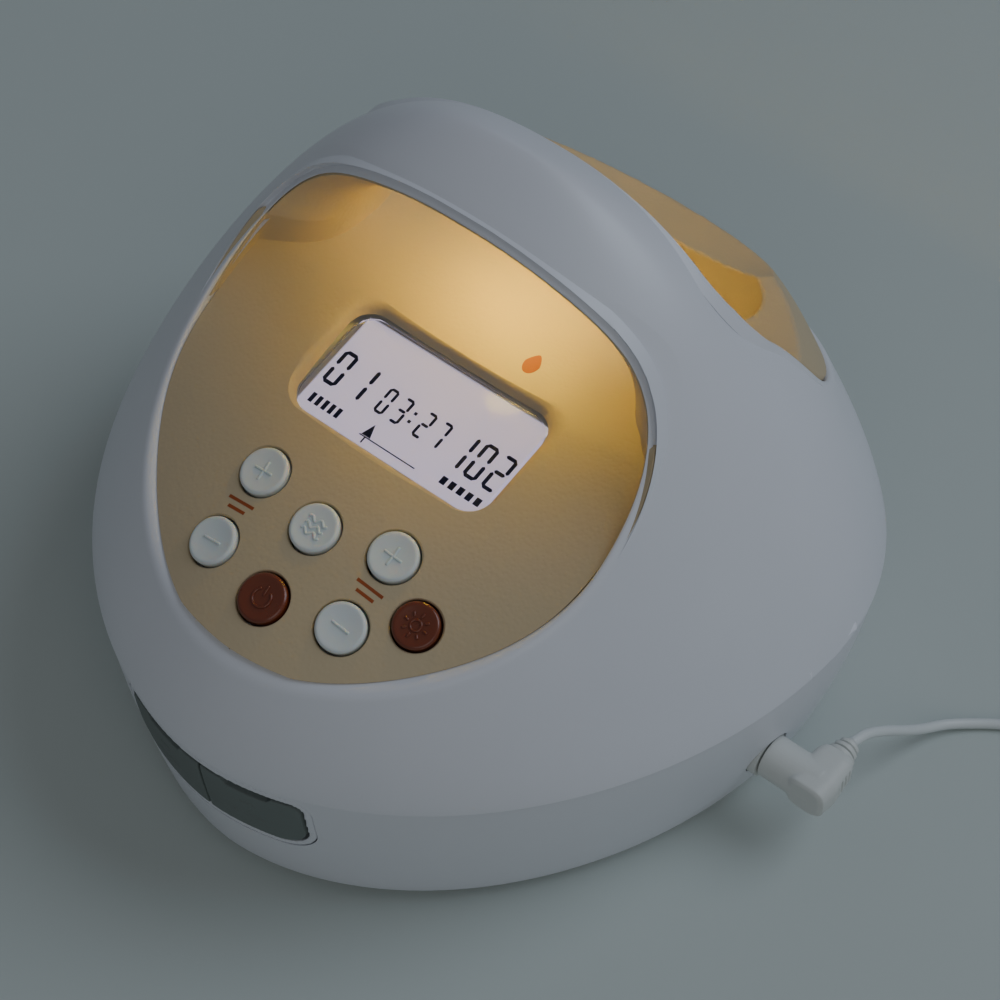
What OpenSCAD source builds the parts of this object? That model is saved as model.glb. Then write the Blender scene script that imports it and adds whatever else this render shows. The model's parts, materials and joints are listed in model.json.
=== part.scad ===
// Electric breast pump: a white domed housing with a carrying arch over a sand-coloured control
// panel, two suction ports behind rubber flaps, a diaphragm pump inside and a low-voltage lead.
// Frame: +Z up, the control panel faces -Y, the power lead leaves at +X, Z = 0 is the table.

/* [Housing] */
// Half width of the housing at its parting line
seam_half_w = 95; // [92:1:98]
// Reach of the housing forward of the crown at the parting line
front_reach = 112; // [110:1:114]
// Reach of the housing behind the crown at the parting line
back_reach = 73; // [72:1:75]
// Height of the parting line above the table
seam_z = 48.5; // [47.5:0.5:49.5]
// Height of the top of the carrying arch
crown_z = 151.5; // [150.5:0.5:153]
// Wall thickness of the moulded shells
wall = 2.6; // [2.2:0.1:3]

/* [Opening under the arch] */
// Half width of the oval opening
mouth_half_w = 58; // [57:0.5:59]
// Height of the widest level of the oval
mouth_mid_z = 97; // [96:0.5:98]
// Rise of the oval above its widest level
mouth_up = 44.8; // [44:0.2:45.4]
// Drop of the oval below its widest level
mouth_down = 23; // [22.5:0.5:23.5]

/* [Keys and display] */
// Diameter of a round key
key_d = 11.5; // [11:0.1:12]
// Diameter of the night light key
light_key_d = 10.7; // [10:0.1:11]
// Key travel
key_travel = 0.8; // [0.5:0.1:0.9]
// Width of the display window
lcd_w = 55.2; // [54:0.2:56]
// Height of the display window
lcd_h = 29; // [28:0.5:29.5]
// Tilt of the display from level, in degrees
lcd_tilt = 11; // [10:0.5:12]

/* [Suction ports] */
// Radius of the tubing sockets
port_r = 3.1; // [2.8:0.1:3.3]
// Distance of each socket from the centre line
port_x = 12.5; // [12:0.5:13]
// Height of the sockets
port_z = 36.6; // [36:0.2:37]

/* [Drive] */
// Motor can diameter
motor_d = 28; // [26:1:29]
// Throw of the eccentric
throw_e = 1.5; // [1:0.1:1.5]

/* [Lead] */
// Diameter of the power lead
lead_d = 2.6; // [2.6:0.1:2.8]

/* [Hidden] */

$fn = 48;
crown_y = front_reach - (front_reach + back_reach) / 2;  // crown line, box centred on Y = 0
floor_z = 1.5;            // underside of the base shell, above the feet
edge_r = 5;               // rounding of the base shell's lower edge
seam_gap = 0.5;           // shadow line between the two shells
base_inset = 1;           // base shell set in under the upper shell
fit = 0.3;                // gap between neighbouring mouldings
around = 48;              // points round a ring of the housing
levels = 14;              // rings between the parting line and the crown
panel_t = 2.6;            // thickness of the sand-coloured mouldings

// Control panel surface: height above the table as a function of place
panel_mid = 99.1;         // height at the centre line, Y = 0
panel_slope = 0.116;      // slope there
panel_bow = 0.00248;      // fall-off away from Y = 0
side_lift = 0.00065;      // dish across the width at Y = 0
side_twist = 0.0000768;   // turns the dish into a dome towards the front
edge_lift = 2.2e-7;       // extra rise at the far edges
panel_back_y = crown_y + 15;
recess_z = 100;           // level of the rear rim
panel_front_y = -84;

function sgn_pow(v, p) = sign(v) * pow(abs(v), p);
function rise(z) = max(0, min(1, (z - seam_z) / (crown_z - seam_z)));
function tuck(z) = pow(max(0, 1 - z / seam_z), 1.5);
function half_w(z) = seam_half_w * (z >= seam_z ? sqrt(1 - pow(rise(z), 1.1)) : 1 - 0.10 * tuck(z));
function front_d(z) = front_reach * (z >= seam_z ? pow(1 - pow(rise(z), 1.42), 1 / 1.2)
                                                 : 1 - 0.06 * tuck(z));
function back_d(z) = back_reach * (z >= seam_z ? pow(1 - pow(rise(z), 1.55), 1 / 1.2)
                                               : 1 - 0.16 * tuck(z));
front_n = 1.85;           // roundness of the outline from above, in front and behind
back_n = 2.1;

// One level ring of the housing, set in by inset, counter-clockwise from above
function level_ring(z, inset) =
    [for (i = [0 : around - 1])
        let (t = 360 * i / around, s = sin(t), n = s < 0 ? front_n : back_n,
             reach = s < 0 ? front_d(z) : back_d(z))
        [max(0.2, half_w(z) - inset) * sgn_pow(cos(t), 2 / n),
         crown_y + max(0.2, reach - inset) * sgn_pow(s, 2 / n), z]];

// Distance from the crown line to the housing surface at a place on the oval, to the front
function skin_front(x, z) =
    front_d(z) * pow(max(0, 1 - pow(min(1, abs(x) / max(0.1, half_w(z))), front_n)), 1 / front_n);

function panel_z(x, y) =
    let (fade = y < 0 ? 1 : max(0, 1 - pow(y / panel_back_y, 2)), turn = min(0, y))
    panel_mid + panel_slope * y - panel_bow * y * y
    + fade * ((side_lift + side_twist * turn) * x * x + edge_lift * pow(x, 4));

// Solid skinned over a list of rings that all have the same number of points
module loft(rings) {
    n = len(rings[0]);
    m = len(rings);
    points = [for (r = rings) each r];
    sides = [for (i = [0 : m - 2], j = [0 : n - 1]) let (k = (j + 1) % n)
        each [[i * n + j, (i + 1) * n + j, (i + 1) * n + k], [i * n + j, (i + 1) * n + k, i * n + k]]];
    ends = [[for (j = [0 : n - 1]) j], [for (j = [n - 1 : -1 : 0]) (m - 1) * n + j]];
    polyhedron(points, concat(sides, ends));
}

// Evaluates a freeform solid as one closed mesh
module as_mesh() { resize([0, 0, 0]) children(); }

// Solid dome above the parting line, set in by inset
module dome(inset = 0, from_z = seam_z) {
    top = crown_z - inset;
    ring_zs = [for (i = [0 : levels]) from_z + (top - from_z) * (1 - pow(1 - i / levels, 1.8))];
    loft([for (z = ring_zs) level_ring(min(z, crown_z - 0.02), inset)]);
}

// Solid of the base, with its lower edge rounded, set in by inset
module base_form(inset = 0, from_z = floor_z, to_z = seam_z) {
    steps = 5;
    rounded = [for (i = [0 : steps]) let (a = 90 * i / steps)
        [from_z + edge_r * (1 - cos(a)), edge_r * (1 - sin(a))]];
    straight = [for (i = [1 : 4]) [from_z + edge_r + (to_z - from_z - edge_r) * i / 4, 0]];
    loft([for (p = concat(rounded, straight)) level_ring(p[0], inset + base_inset + p[1])]);
}

// Oval of the opening at an angle from the +X side, as [x, z], set in by inset
function mouth_point(t, inset = 0) =
    let (p = sin(t) < 0 ? 2 / 2.5 : 1)
    [(mouth_half_w - inset) * sgn_pow(cos(t), p),
     mouth_mid_z + ((sin(t) < 0 ? mouth_down : mouth_up) - inset) * sgn_pow(sin(t), p)];

// Straight oval prism that cuts the front and rear openings out of the dome
module mouth_prism(inset = 0) {
    loft([for (y = [-130, 130]) [for (i = [0 : around - 1])
        let (p = mouth_point(180 - 360 * i / around, inset)) [p[0], y, p[1]]]]);
}

// Waisted tunnel through the arch: narrowest under the crown, flaring out to the two openings
flare_reach = 22;
function throat(t) = 0.26 - 0.10 * max(0, sin(t));
function flare(t, dy) =
    let (p = mouth_point(t), reach = max(6, min(flare_reach, skin_front(p[0], p[1]))))
    1 - throat(t) * (1 - pow(min(1, abs(dy) / reach), 3));
module tunnel(grow = 0) {
    stations = [-130, -40, -22, -19, -16, -13, -10, -7, -4, 0, 4, 7, 10, 13, 16, 19, 22, 40, 130];
    loft([for (dy = stations) [for (i = [0 : around - 1])
        let (t = 180 - 360 * i / around, p = mouth_point(t), k = flare(t, dy))
        [p[0] * k + grow * cos(t), crown_y + dy, mouth_mid_z + (p[1] - mouth_mid_z) * k + grow * sin(t)]]]);
}

// Slab under the control panel surface, from low to high below it
module panel_slab(top = 0, bottom = panel_t, half_x = 62, back_y = panel_back_y, grid = 22) {
    ys = [for (i = [0 : grid]) panel_front_y + (back_y - panel_front_y) * i / grid];
    xs = [for (i = [0 : grid]) -half_x + 2 * half_x * i / grid];
    loft([for (y = ys) concat([for (x = xs) [x, y, panel_z(x, y) - top]],
                              [for (i = [grid : -1 : 0]) [xs[i], y, panel_z(xs[i], y) - bottom]])]);
}

// ---- key places: [x, y, diameter] ----
cycle_up = [-18.7, -44.7, key_d];
cycle_down = [-18.6, -62.3, key_d];
vacuum_up = [18.7, -44.7, key_d];
vacuum_down = [18.6, -62.3, key_d];
mode_place = [0, -49.2, key_d];
power_place = [0, -66.8, key_d];
light_place = [31.8, -52.8, light_key_d];
key_places = [cycle_up, cycle_down, vacuum_up, vacuum_down, mode_place, power_place, light_place];
key_tilt = 23.6;          // common direction of travel, tipped towards the user
key_proud = 0.9;          // key face above the panel
key_gap = 0.5;            // gap round a key
flange_t = 0.9;           // hidden collar that keeps a key in its hole
board_d = 86.5;           // distance of the control board's face from the origin along the key axis
board_t = 1.6;

// Children placed at a key, with Z along the panel's own normal
module on_panel(p) {
    h = 0.5;
    gx = (panel_z(p[0] + h, p[1]) - panel_z(p[0] - h, p[1])) / (2 * h);
    gy = (panel_z(p[0], p[1] + h) - panel_z(p[0], p[1] - h)) / (2 * h);
    translate([p[0], p[1], panel_z(p[0], p[1])])
        rotate([0, atan(sqrt(gx * gx + gy * gy)), atan2(-gy, -gx)]) children();
}
// Children placed at a key, with Z along the common direction of travel
module on_axis(p) {
    translate([p[0], p[1], panel_z(p[0], p[1])]) rotate([key_tilt, 0, 0]) children();
}
// Distance from the panel surface down to the control board along the key axis
function key_depth(p) = -p[1] * sin(key_tilt) + panel_z(p[0], p[1]) * cos(key_tilt) - board_d;
switch_h = 4.3;
stem_gap = key_travel + 0.3;  // from a resting key's stem to its switch
key_board_spots = [[-35, -2], [35, -2], [-12, -36], [12, -36]];
module board_frame() { rotate([key_tilt, 0, 0]) children(); }

module key_solid(p) {
    r = p[2] / 2;
    on_panel(p) {
        difference() {
            translate([0, 0, -panel_t - 0.2]) cylinder(r = r, h = panel_t + 0.2 + key_proud);
            translate([0, 0, key_proud + 40 - 0.35]) sphere(r = 40, $fn = 90);
        }
    }
    on_axis(p) {
        translate([0, 0, -panel_t - 0.9 - flange_t - 0.8]) cylinder(r = r + 0.8, h = flange_t);
        translate([0, 0, -key_depth(p) + switch_h + stem_gap])
            cylinder(r = 2.2, h = key_depth(p) - switch_h - stem_gap - panel_t);
    }
}

module lcd_frame() { translate([0, -13.4, 93.7]) rotate([lcd_tilt, 0, 0]) children(); }
module rounded_plate(w, h, r, t) {
    linear_extrude(t) union() {
        square([w - 2 * r, h], center = true);
        square([w, h - 2 * r], center = true);
        for (x = [-1, 1], y = [-1, 1]) translate([x * (w / 2 - r), y * (h / 2 - r)]) circle(r);
    }
}

// ---- housing ----
post_d = 8;               // screw posts between the two shells
post_top = 45.5;
handle_screw_x = 30;      // screws that hold the liner up inside the arch
screw_seat_z = 129.4;
module handle_bosses(z, d, h = 30) {
    for (x = [-handle_screw_x, handle_screw_x]) translate([x, crown_y, z]) cylinder(d = d, h = h, $fn = 20);
}
module upper_shell() {
    color("white") as_mesh() difference() {
        union() {
            intersection() {
                dome(wall / 2);
                handle_bosses(screw_seat_z + 2.6, 6.4);
            }
            difference() {
                dome(0, seam_z + seam_gap);
                dome(wall, seam_z + seam_gap - 1);
            }
            // screw columns that meet the base shell's posts, the rear one on a rib
            intersection() {
                dome(wall / 2, post_top);
                union() {
                    for (p = post_spots) translate([p[0], p[1], post_top + 0.5])
                        cylinder(d = post_d, h = 60, $fn = 20);
                    translate([-1.2, post_spots[4][1], seam_z + 3]) cube([2.4, 30, 40]);
                }
            }
        }
        difference() {
            mouth_prism();
            handle_bosses(screw_seat_z + 2.6, 6.4);
        }
        for (p = post_spots) translate([p[0], p[1], post_top]) cylinder(d = 3.2, h = 16, $fn = 20);
        handle_bosses(screw_seat_z, 2.9, 10);
    }
}

// Port bay under the seam, seen from the front, set out by grow
bay_half = 25.6;
bay_low_z = 25.2;
bay_top_z = 44.6;
bay_top_r = 3;
bay_low_r = 8;
bay_depth = 3.4;
socket_r = 5;             // outside of a tubing socket
socket_mouth_y = 84.5;    // its mouth, forward of Y = 0
module bay_outline(grow = 0) {
    hull() for (s = [-1, 1]) {
        translate([s * (bay_half - bay_top_r), bay_top_z - bay_top_r]) circle(bay_top_r + grow, $fn = 24);
        translate([s * (bay_half - bay_low_r), bay_low_z + bay_low_r]) circle(bay_low_r + grow, $fn = 40);
    }
}
// The bay outline carried straight back through the front wall
module bay_block(grow = 0, back_y = -60) {
    translate([0, back_y, 0]) rotate([90, 0, 0]) linear_extrude(60) bay_outline(grow);
}

jack_y = 4;
jack_z = 21;
post_spots = [[-60, 40], [60, 40], [-62, -22], [62, -22], [0, 70]];
board_spots = [[-46, 48], [46, 48], [-46, 2], [46, 2]];
module base_shell() {
    color("white") as_mesh() difference() {
        union() {
            difference() {
                union() {
                    base_form();
                    // locating rib that stands up inside the upper shell
                    base_form(wall - base_inset + 0.8, floor_z, seam_z + 1.6);
                }
                difference() {
                    base_form(wall + 1.2, floor_z, seam_z + 3);
                    translate([-120, -120, 0]) cube([240, 240, floor_z + wall]);
                }
            }
            for (p = post_spots) translate([p[0], p[1], floor_z + 1])
                cylinder(d = post_d, h = post_top - floor_z - 1, $fn = 20);
            for (p = board_spots) translate([p[0], p[1], floor_z + 1])
                cylinder(d = 6, h = main_z - 0.2 - floor_z - 1, $fn = 16);
        }
        for (p = post_spots) translate([p[0], p[1], 0]) {
            cylinder(d = 3.4, h = 60, $fn = 16);
            cylinder(d = 6.6, h = 5, $fn = 20);
        }
        for (p = board_spots) translate([p[0], p[1], 40]) cylinder(d = 2, h = 20, $fn = 12);
        for (p = foot_spots) translate([p[0], p[1], 0]) cylinder(d = foot_d + 0.4, h = floor_z + 0.8, $fn = 32);
        bay_block(2.2);
        translate([70, jack_y, jack_z]) rotate([0, 90, 0]) cylinder(d = 12.6, h = 40, $fn = 32);
    }
}

foot_d = 14;
foot_spots = [[-44, 48], [44, 48], [-44, -50], [44, -50]];
module rubber_feet() {
    color("dimgray") for (p = foot_spots) translate([p[0], p[1], 0]) {
        cylinder(d = foot_d - 2, h = 0.6);
        translate([0, 0, 0.5]) cylinder(d = foot_d, h = floor_z + 0.2);
    }
}
module screw(d, head_d, length, head_h = 2) {
    cylinder(d = head_d, h = head_h);
    translate([0, 0, head_h - 0.01]) cylinder(d = d, h = length);
}
module base_screws() {
    color("silver") for (p = post_spots) translate([p[0], p[1], 3]) screw(3, 6, post_top + 2);
}

// ---- sand-coloured mouldings ----
module fascia_block() {
    intersection() {
        panel_slab();
        mouth_prism(fit);
        dome(1.0, seam_z);
    }
}
module control_fascia() {
    color("tan") as_mesh() difference() {
        union() {
            fascia_block();
            // collar round the display window
            intersection() {
                panel_slab(1, 9);
                lcd_frame() translate([0, 0, -window_t - 0.2]) rounded_plate(lcd_w + 7, lcd_h + 7, 8, 6);
            }
            // bosses that carry the control board
            intersection() {
                panel_slab(1, 30);
                board_frame() for (p = key_board_spots) translate([p[0], p[1], board_d + 0.1])
                    cylinder(d = 5, h = 30, $fn = 16);
            }
        }
        for (p = key_places) on_panel(p)
            translate([0, 0, -8]) cylinder(d = p[2] + 2 * key_gap, h = 16, $fn = 40);
        board_frame() for (p = key_board_spots) translate([p[0], p[1], board_d - 1])
            cylinder(d = 2.1, h = 7.5, $fn = 12);
        // window and the bevelled pocket that leads down to it
        lcd_frame() translate([0, 0, -8]) rounded_plate(lcd_w, lcd_h, 6, 9);
        lcd_frame() hull() {
            rounded_plate(lcd_w, lcd_h, 6, 0.1);
            translate([0, 0, 3.6]) rounded_plate(lcd_w + 4.4, lcd_h + 4.4, 8, 0.1);
        }
    }
}
scoop_y = crown_y + 31;
module scoop(grow = 0) {
    translate([0, scoop_y, recess_z + 4])
        scale([44 + grow, 17 + grow, 26 + grow]) sphere(r = 1, $fn = 40);
}
module rear_block(inset, top) {
    intersection() {
        dome(inset, seam_z);
        mouth_prism(fit);
        translate([-70, panel_back_y + fit, 0]) cube([140, 100, top]);
    }
}
module rear_recess() {
    color("tan") as_mesh() difference() {
        union() {
            difference() {
                rear_block(1, recess_z);
                rear_block(1 + panel_t, recess_z - panel_t);
            }
            intersection() { rear_block(1, recess_z); scoop(panel_t); }
        }
        scoop();
    }
}
module handle_liner() {
    color("tan") as_mesh() difference() {
        union() {
            intersection() {
                tunnel(panel_t);
                mouth_prism(fit);
                dome(1.2, seam_z);
            }
            handle_bosses(screw_seat_z - 6, 9, 8);
        }
        tunnel();
        handle_bosses(screw_seat_z - 12, 6.2, 12);
        handle_bosses(screw_seat_z - 1, 2.9, 5);
        panel_slab(-fit, 60);
        translate([-90, panel_back_y - 0.2, 0]) cube([180, 120, recess_z + fit]);
        translate([-90, -120, 0]) cube([180, 230, mouth_mid_z]);
        translate([0, crown_y, 100]) cylinder(d = 13, h = 60, $fn = 36);
    }
}

// ---- display ----
window_t = 1.2;
module lcd_window() {
    color("lavender", 0.5) lcd_frame() translate([0, 0, -window_t])
        rounded_plate(lcd_w - 0.6, lcd_h - 0.6, 5.7, window_t);
}
module lcd_panel() {
    color("lavender") lcd_frame() translate([-lcd_w / 2 + 1.5, -lcd_h / 2 + 1, -4.2])
        cube([lcd_w - 3, lcd_h - 2, 2.6]);
}
module lcd_holder() {
    color("gray") lcd_frame() translate([0, 0, -6.2]) difference() {
        translate([-31, -17, 0]) cube([62, 34, 4.4]);
        translate([-lcd_w / 2 + 1.2, -lcd_h / 2 + 0.7, 1.8]) cube([lcd_w - 2.4, lcd_h - 1.4, 3]);
    }
}

// ---- keys ----
module cycle_up_key() { color("white") key_solid(cycle_up); }
module cycle_down_key() { color("white") key_solid(cycle_down); }
module vacuum_up_key() { color("white") key_solid(vacuum_up); }
module vacuum_down_key() { color("white") key_solid(vacuum_down); }
module mode_key() { color("white") key_solid(mode_place); }
module power_key() { color("sienna") key_solid(power_place); }
module light_key() { color("sienna") key_solid(light_place); }
module key_switches() {
    color("dimgray") for (p = key_places) on_axis(p) translate([0, 0, -key_depth(p)]) {
        translate([-3, -3, 0]) cube([6, 6, switch_h - 0.8]);
        cylinder(d = 3.2, h = switch_h);
    }
}
module control_board() {
    color("darkgreen") board_frame() translate([0, 0, board_d - board_t])
        difference() {
            translate([-37.5, -39, 0]) cube([75, 41.5, board_t]);
            for (p = key_board_spots) translate([p[0], p[1], -1]) cylinder(d = 2.4, h = 4);
        }
}

// ---- night light in the arch ----
light_z = mouth_mid_z + mouth_up * (1 - throat(90)) + 0.7;
module night_light_lens() {
    color("ivory", 0.6) translate([0, crown_y, light_z]) {
        cylinder(d = 12, h = 2.4);
        translate([0, 0, 2.4]) cylinder(d = 15, h = 1);
    }
}
module night_light_board() {
    color("darkgreen") translate([-12, crown_y - 5, light_z + 4.2]) cube([24, 10, 1.2]);
    color("lightyellow") translate([-1.6, crown_y - 1.4, light_z + 3.6]) cube([3.2, 2.8, 0.6]);
}

// ---- boards and wiring ----
main_z = floor_z + 52.2;
module main_board() {
    color("darkgreen") difference() {
        translate([-52, -4, main_z]) cube([104, 58, 1.6]);
        for (p = board_spots) translate([p[0], p[1], main_z - 1]) cylinder(d = 2.6, h = 4);
    }
    color("black") {
        translate([-20, 20, main_z + 1.6]) cube([14, 14, 1.6]);
        translate([10, 30, main_z + 1.6]) cylinder(d = 8, h = 11);
        translate([22, 30, main_z + 1.6]) cylinder(d = 8, h = 11);
        translate([34, 10, main_z + 1.6]) cube([9, 6, 7]);
    }
}
module board_screws() {
    color("silver") for (p = board_spots)
        translate([p[0], p[1], main_z + 3.7]) rotate([180, 0, 0]) screw(1.9, 4.4, 8);
    color("silver") board_frame() for (p = key_board_spots)
        translate([p[0], p[1], board_d - board_t - 2.1]) screw(1.9, 4.4, 7);
}
module handle_screws() {
    color("silver") for (x = [-handle_screw_x, handle_screw_x])
        translate([x, crown_y, screw_seat_z - 1.8]) screw(2.6, 5.4, 8, 1.8);
}
ribbon_w = 14;
module ribbon_cable() {
    // flat ribbon from the key board down to the main board
    color("lightgray") translate([-ribbon_w / 2, 0, 0]) rotate([90, 0, 90]) linear_extrude(ribbon_w)
        polygon([[-36.5, 76.2], [-35, 76.9], [-20, 70], [-8, 60.2], [-1.4, 56.4], [3.4, 56.4],
                 [3.4, 55.5], [-1.8, 55.5], [-8.6, 59.4], [-20.4, 69.2], [-35.2, 76], [-36.2, 75.4]]);
}

// ---- suction ports ----
module port_bezel() {
    color("white") as_mesh() difference() {
        intersection() {
            bay_block(1.9, -70);
            base_form(0, floor_z, seam_z);
        }
        // pocket for the flaps, its floor following the housing's curve
        difference() {
            bay_block(fit, -70);
            base_form(bay_depth);
        }
        base_form(bay_depth + wall);
        for (s = [-1, 1]) translate([s * port_x, -60, port_z]) rotate([90, 0, 0])
            cylinder(r = socket_r + 0.4, h = 60);
    }
}
cap_t = 2.4;
cap_side_gap = 0.35;
notch_x = 12.4;           // centre of a flap's finger notch
module cap_zone(s) {
    difference() {
        intersection() {
            difference() {
                base_form(-0.2);
                base_form(-0.2 + cap_t);
            }
            bay_block(-0.35, -70);
            translate([s > 0 ? cap_side_gap : -60 - cap_side_gap, -140, 0]) cube([60, 80, 60]);
        }
        // finger notch along the upper edge
        translate([s * notch_x, -70, bay_top_z]) rotate([90, 0, 0]) linear_extrude(40)
            polygon([[-6.4, 1], [-6.4, 0], [-5.2, -2], [5.2, -2], [6.4, 0], [6.4, 1]]);
    }
}
module port_cap_left() { color("darkgray") as_mesh() cap_zone(-1); }
module port_cap_right() { color("darkgray") as_mesh() cap_zone(1); }
module suction_port(s) {
    color("whitesmoke") translate([s * port_x, 0, port_z]) rotate([90, 0, 0]) difference() {
        union() {
            translate([0, 0, 62]) cylinder(r = 2.4, h = 9);
            translate([0, 0, 70.4]) cylinder(r = socket_r, h = socket_mouth_y - 70.4);
            translate([0, 0, 74.4]) cylinder(r = 7, h = 2);
        }
        translate([0, 0, socket_mouth_y - 11.9]) cylinder(r = port_r, h = 12);
        translate([0, 0, 60]) cylinder(r = 1.3, h = 20);
    }
}
module suction_port_left() { suction_port(-1); }
module suction_port_right() { suction_port(1); }

// ---- pump ----
motor_x = -28;
motor_z = 26;
motor_y = 10;
motor_l = 40;
module motor() {
    color("silver") translate([motor_x, motor_y, motor_z]) rotate([-90, 0, 0]) difference() {
        union() {
            cylinder(d = motor_d, h = motor_l);
            translate([0, 0, -2.4]) cylinder(d = 10, h = 2.5);
            translate([0, 0, motor_l - 0.1]) cylinder(d = 9, h = 2.6);
        }
        translate([0, 0, -4]) cylinder(r = 1.55, h = 20);
    }
}
module motor_clamp() {
    color("gray") difference() {
        translate([motor_x - 19, motor_y + 8, floor_z + wall + 0.1]) cube([38, 22, motor_z - floor_z - wall]);
        translate([motor_x, motor_y, motor_z]) rotate([-90, 0, 0]) cylinder(d = motor_d + 0.2, h = 60);
    }
}
cam_r = 7;
cam_t = 6;
module drive_eccentric() {
    color("lightgray") translate([motor_x, motor_y, motor_z]) rotate([90, 0, 0]) {
        translate([0, 0, -10]) cylinder(r = 1.5, h = 10 + 3.4);
        translate([0, throw_e, 3.2]) cylinder(r = cam_r, h = cam_t);
    }
}
ring_in = cam_r + 2 * throw_e + 0.5;
ring_out = ring_in + 2.6;
stroke_x = motor_x + 32;
module pump_rod() {
    color("ivory") translate([motor_x, motor_y - 3.7, motor_z]) rotate([90, 0, 0]) difference() {
        union() {
            cylinder(r = ring_out, h = 5);
            translate([ring_in + 1, -3.5, 0]) cube([stroke_x - motor_x - ring_in - 1, 7, 5]);
            translate([stroke_x - motor_x - 2, 0, 2.5]) rotate([0, 90, 0]) cylinder(r = 6, h = 2);
        }
        translate([0, 0, -1]) cylinder(r = ring_in, h = 8);
    }
}
axis_y = motor_y - 3.7 - 2.5;
module along_stroke(x) { translate([x, axis_y, motor_z]) rotate([0, 90, 0]) children(); }
module diaphragm() {
    color("dimgray") along_stroke(stroke_x) difference() {
        cylinder(r = 14, h = 2.2);
        difference() {
            translate([0, 0, -1]) cylinder(r = 11.5, h = 2);
            translate([0, 0, -1]) cylinder(r = 8.5, h = 2);
        }
    }
}
body_x = stroke_x - 5;
module pump_body() {
    color("lightgray") difference() {
        translate([body_x, axis_y - 19, floor_z + wall + 0.1]) cube([14, 38, 2 * (motor_z - floor_z - wall)]);
        along_stroke(body_x - 1) cylinder(r = 14.6, h = 13);
        along_stroke(body_x) cylinder(r = 4, h = 30);
    }
}
head_x = body_x + 14.1;
module pump_head() {
    color("whitesmoke") difference() {
        union() {
            translate([head_x, axis_y - 17, motor_z - 17]) cube([11, 34, 34]);
            for (dz = [-8, 8]) translate([head_x + 10.9, axis_y, motor_z + dz]) rotate([0, 90, 0])
                cylinder(r = 2.4, h = 9);
        }
        translate([head_x - 1, axis_y, motor_z]) rotate([0, 90, 0]) cylinder(r = 10, h = 5);
        for (dz = [-8, 8]) translate([head_x + 2, axis_y, motor_z + dz]) rotate([0, 90, 0])
            cylinder(r = 1.3, h = 30);
    }
}
valve_x = 44;
valve_y = -34;
module release_valve() {
    color("steelblue") translate([valve_x, valve_y, floor_z + wall + 0.1]) difference() {
        union() {
            translate([-9, -9, 0]) cube([18, 18, 20]);
            translate([0, 0, 19.9]) cylinder(r = 6, h = 4);
            translate([-9, 0, 6]) rotate([0, -90, 0]) cylinder(r = 2.4, h = 8);
        }
        translate([0, 0, 8]) cylinder(r = 3.05, h = 30);
        translate([-4, 0, 6]) rotate([0, -90, 0]) cylinder(r = 1.3, h = 20);
    }
}
module valve_plunger() {
    color("silver") translate([valve_x, valve_y, floor_z + wall + 0.1]) {
        translate([0, 0, 10.5]) cylinder(r = 3, h = 15.5);
        translate([0, 0, 26]) cylinder(r = 4.4, h = 1.6);
    }
}
split_y = -50;
module air_splitter() {
    color("whitesmoke") translate([0, split_y, 26]) {
        rotate([0, 90, 0]) translate([0, 0, -11]) cylinder(r = 2.4, h = 22);
        rotate([-90, 0, 0]) cylinder(r = 2.4, h = 9);
        translate([-4, -3.5, -3.5]) cube([8, 7, 7]);
    }
}
// Round hose swept along a list of places
function unit(v) = v / norm(v);
function ring_at(pts, i, r, sides) =
    let (a = pts[max(0, i - 1)], b = pts[min(len(pts) - 1, i + 1)], d = unit(b - a),
         ref = abs(d[2]) > 0.9 ? [1, 0, 0] : [0, 0, 1], u = unit(cross(ref, d)), w = cross(d, u))
    [for (j = [0 : sides - 1]) let (t = 360 * j / sides) pts[i] + r * (cos(t) * u + sin(t) * w)];
module hose(pts, d, sides = 8) {
    loft([for (i = [0 : len(pts) - 1]) ring_at(pts, i, d / 2, sides)]);
}
// Smooth curve through hand-placed points
function spline_point(a, b, c, d, t) =
    0.5 * (2 * b + (c - a) * t + (2 * a - 5 * b + 4 * c - d) * t * t + (3 * b - a - 3 * c + d) * t * t * t);
function smooth(p, per) = concat([for (i = [0 : len(p) - 2], k = [0 : per - 1])
    spline_point(p[max(0, i - 1)], p[i], p[i + 1], p[min(len(p) - 1, i + 2)], k / per)], [p[len(p) - 1]]);
module air_hoses() {
    color("gainsboro") {
        // splitter to each socket, then pump to splitter
        hose(smooth([[-11.2, split_y, 26], [-16, split_y - 1, 27], [-16, split_y - 6, 33],
                     [-12.5, split_y - 11.8, port_z]], 4), 4.4);
        hose(smooth([[11.2, split_y, 26], [16, split_y - 1, 27], [16, split_y - 6, 33],
                     [12.5, split_y - 11.8, port_z]], 4), 4.4);
        hose(smooth([[head_x + 20.2, axis_y, motor_z + 8], [head_x + 26, axis_y - 2, motor_z + 8],
                     [30, -20, 33], [12, -32, 28], [0, split_y + 9.4, 26]], 4), 4.4);
        hose(smooth([[head_x + 20.2, axis_y, motor_z - 8], [head_x + 27, axis_y - 4, motor_z - 9],
                     [32, -24, 11], [valve_x - 17.3, valve_y, floor_z + wall + 6.1]], 4), 4.4);
    }
}

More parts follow.
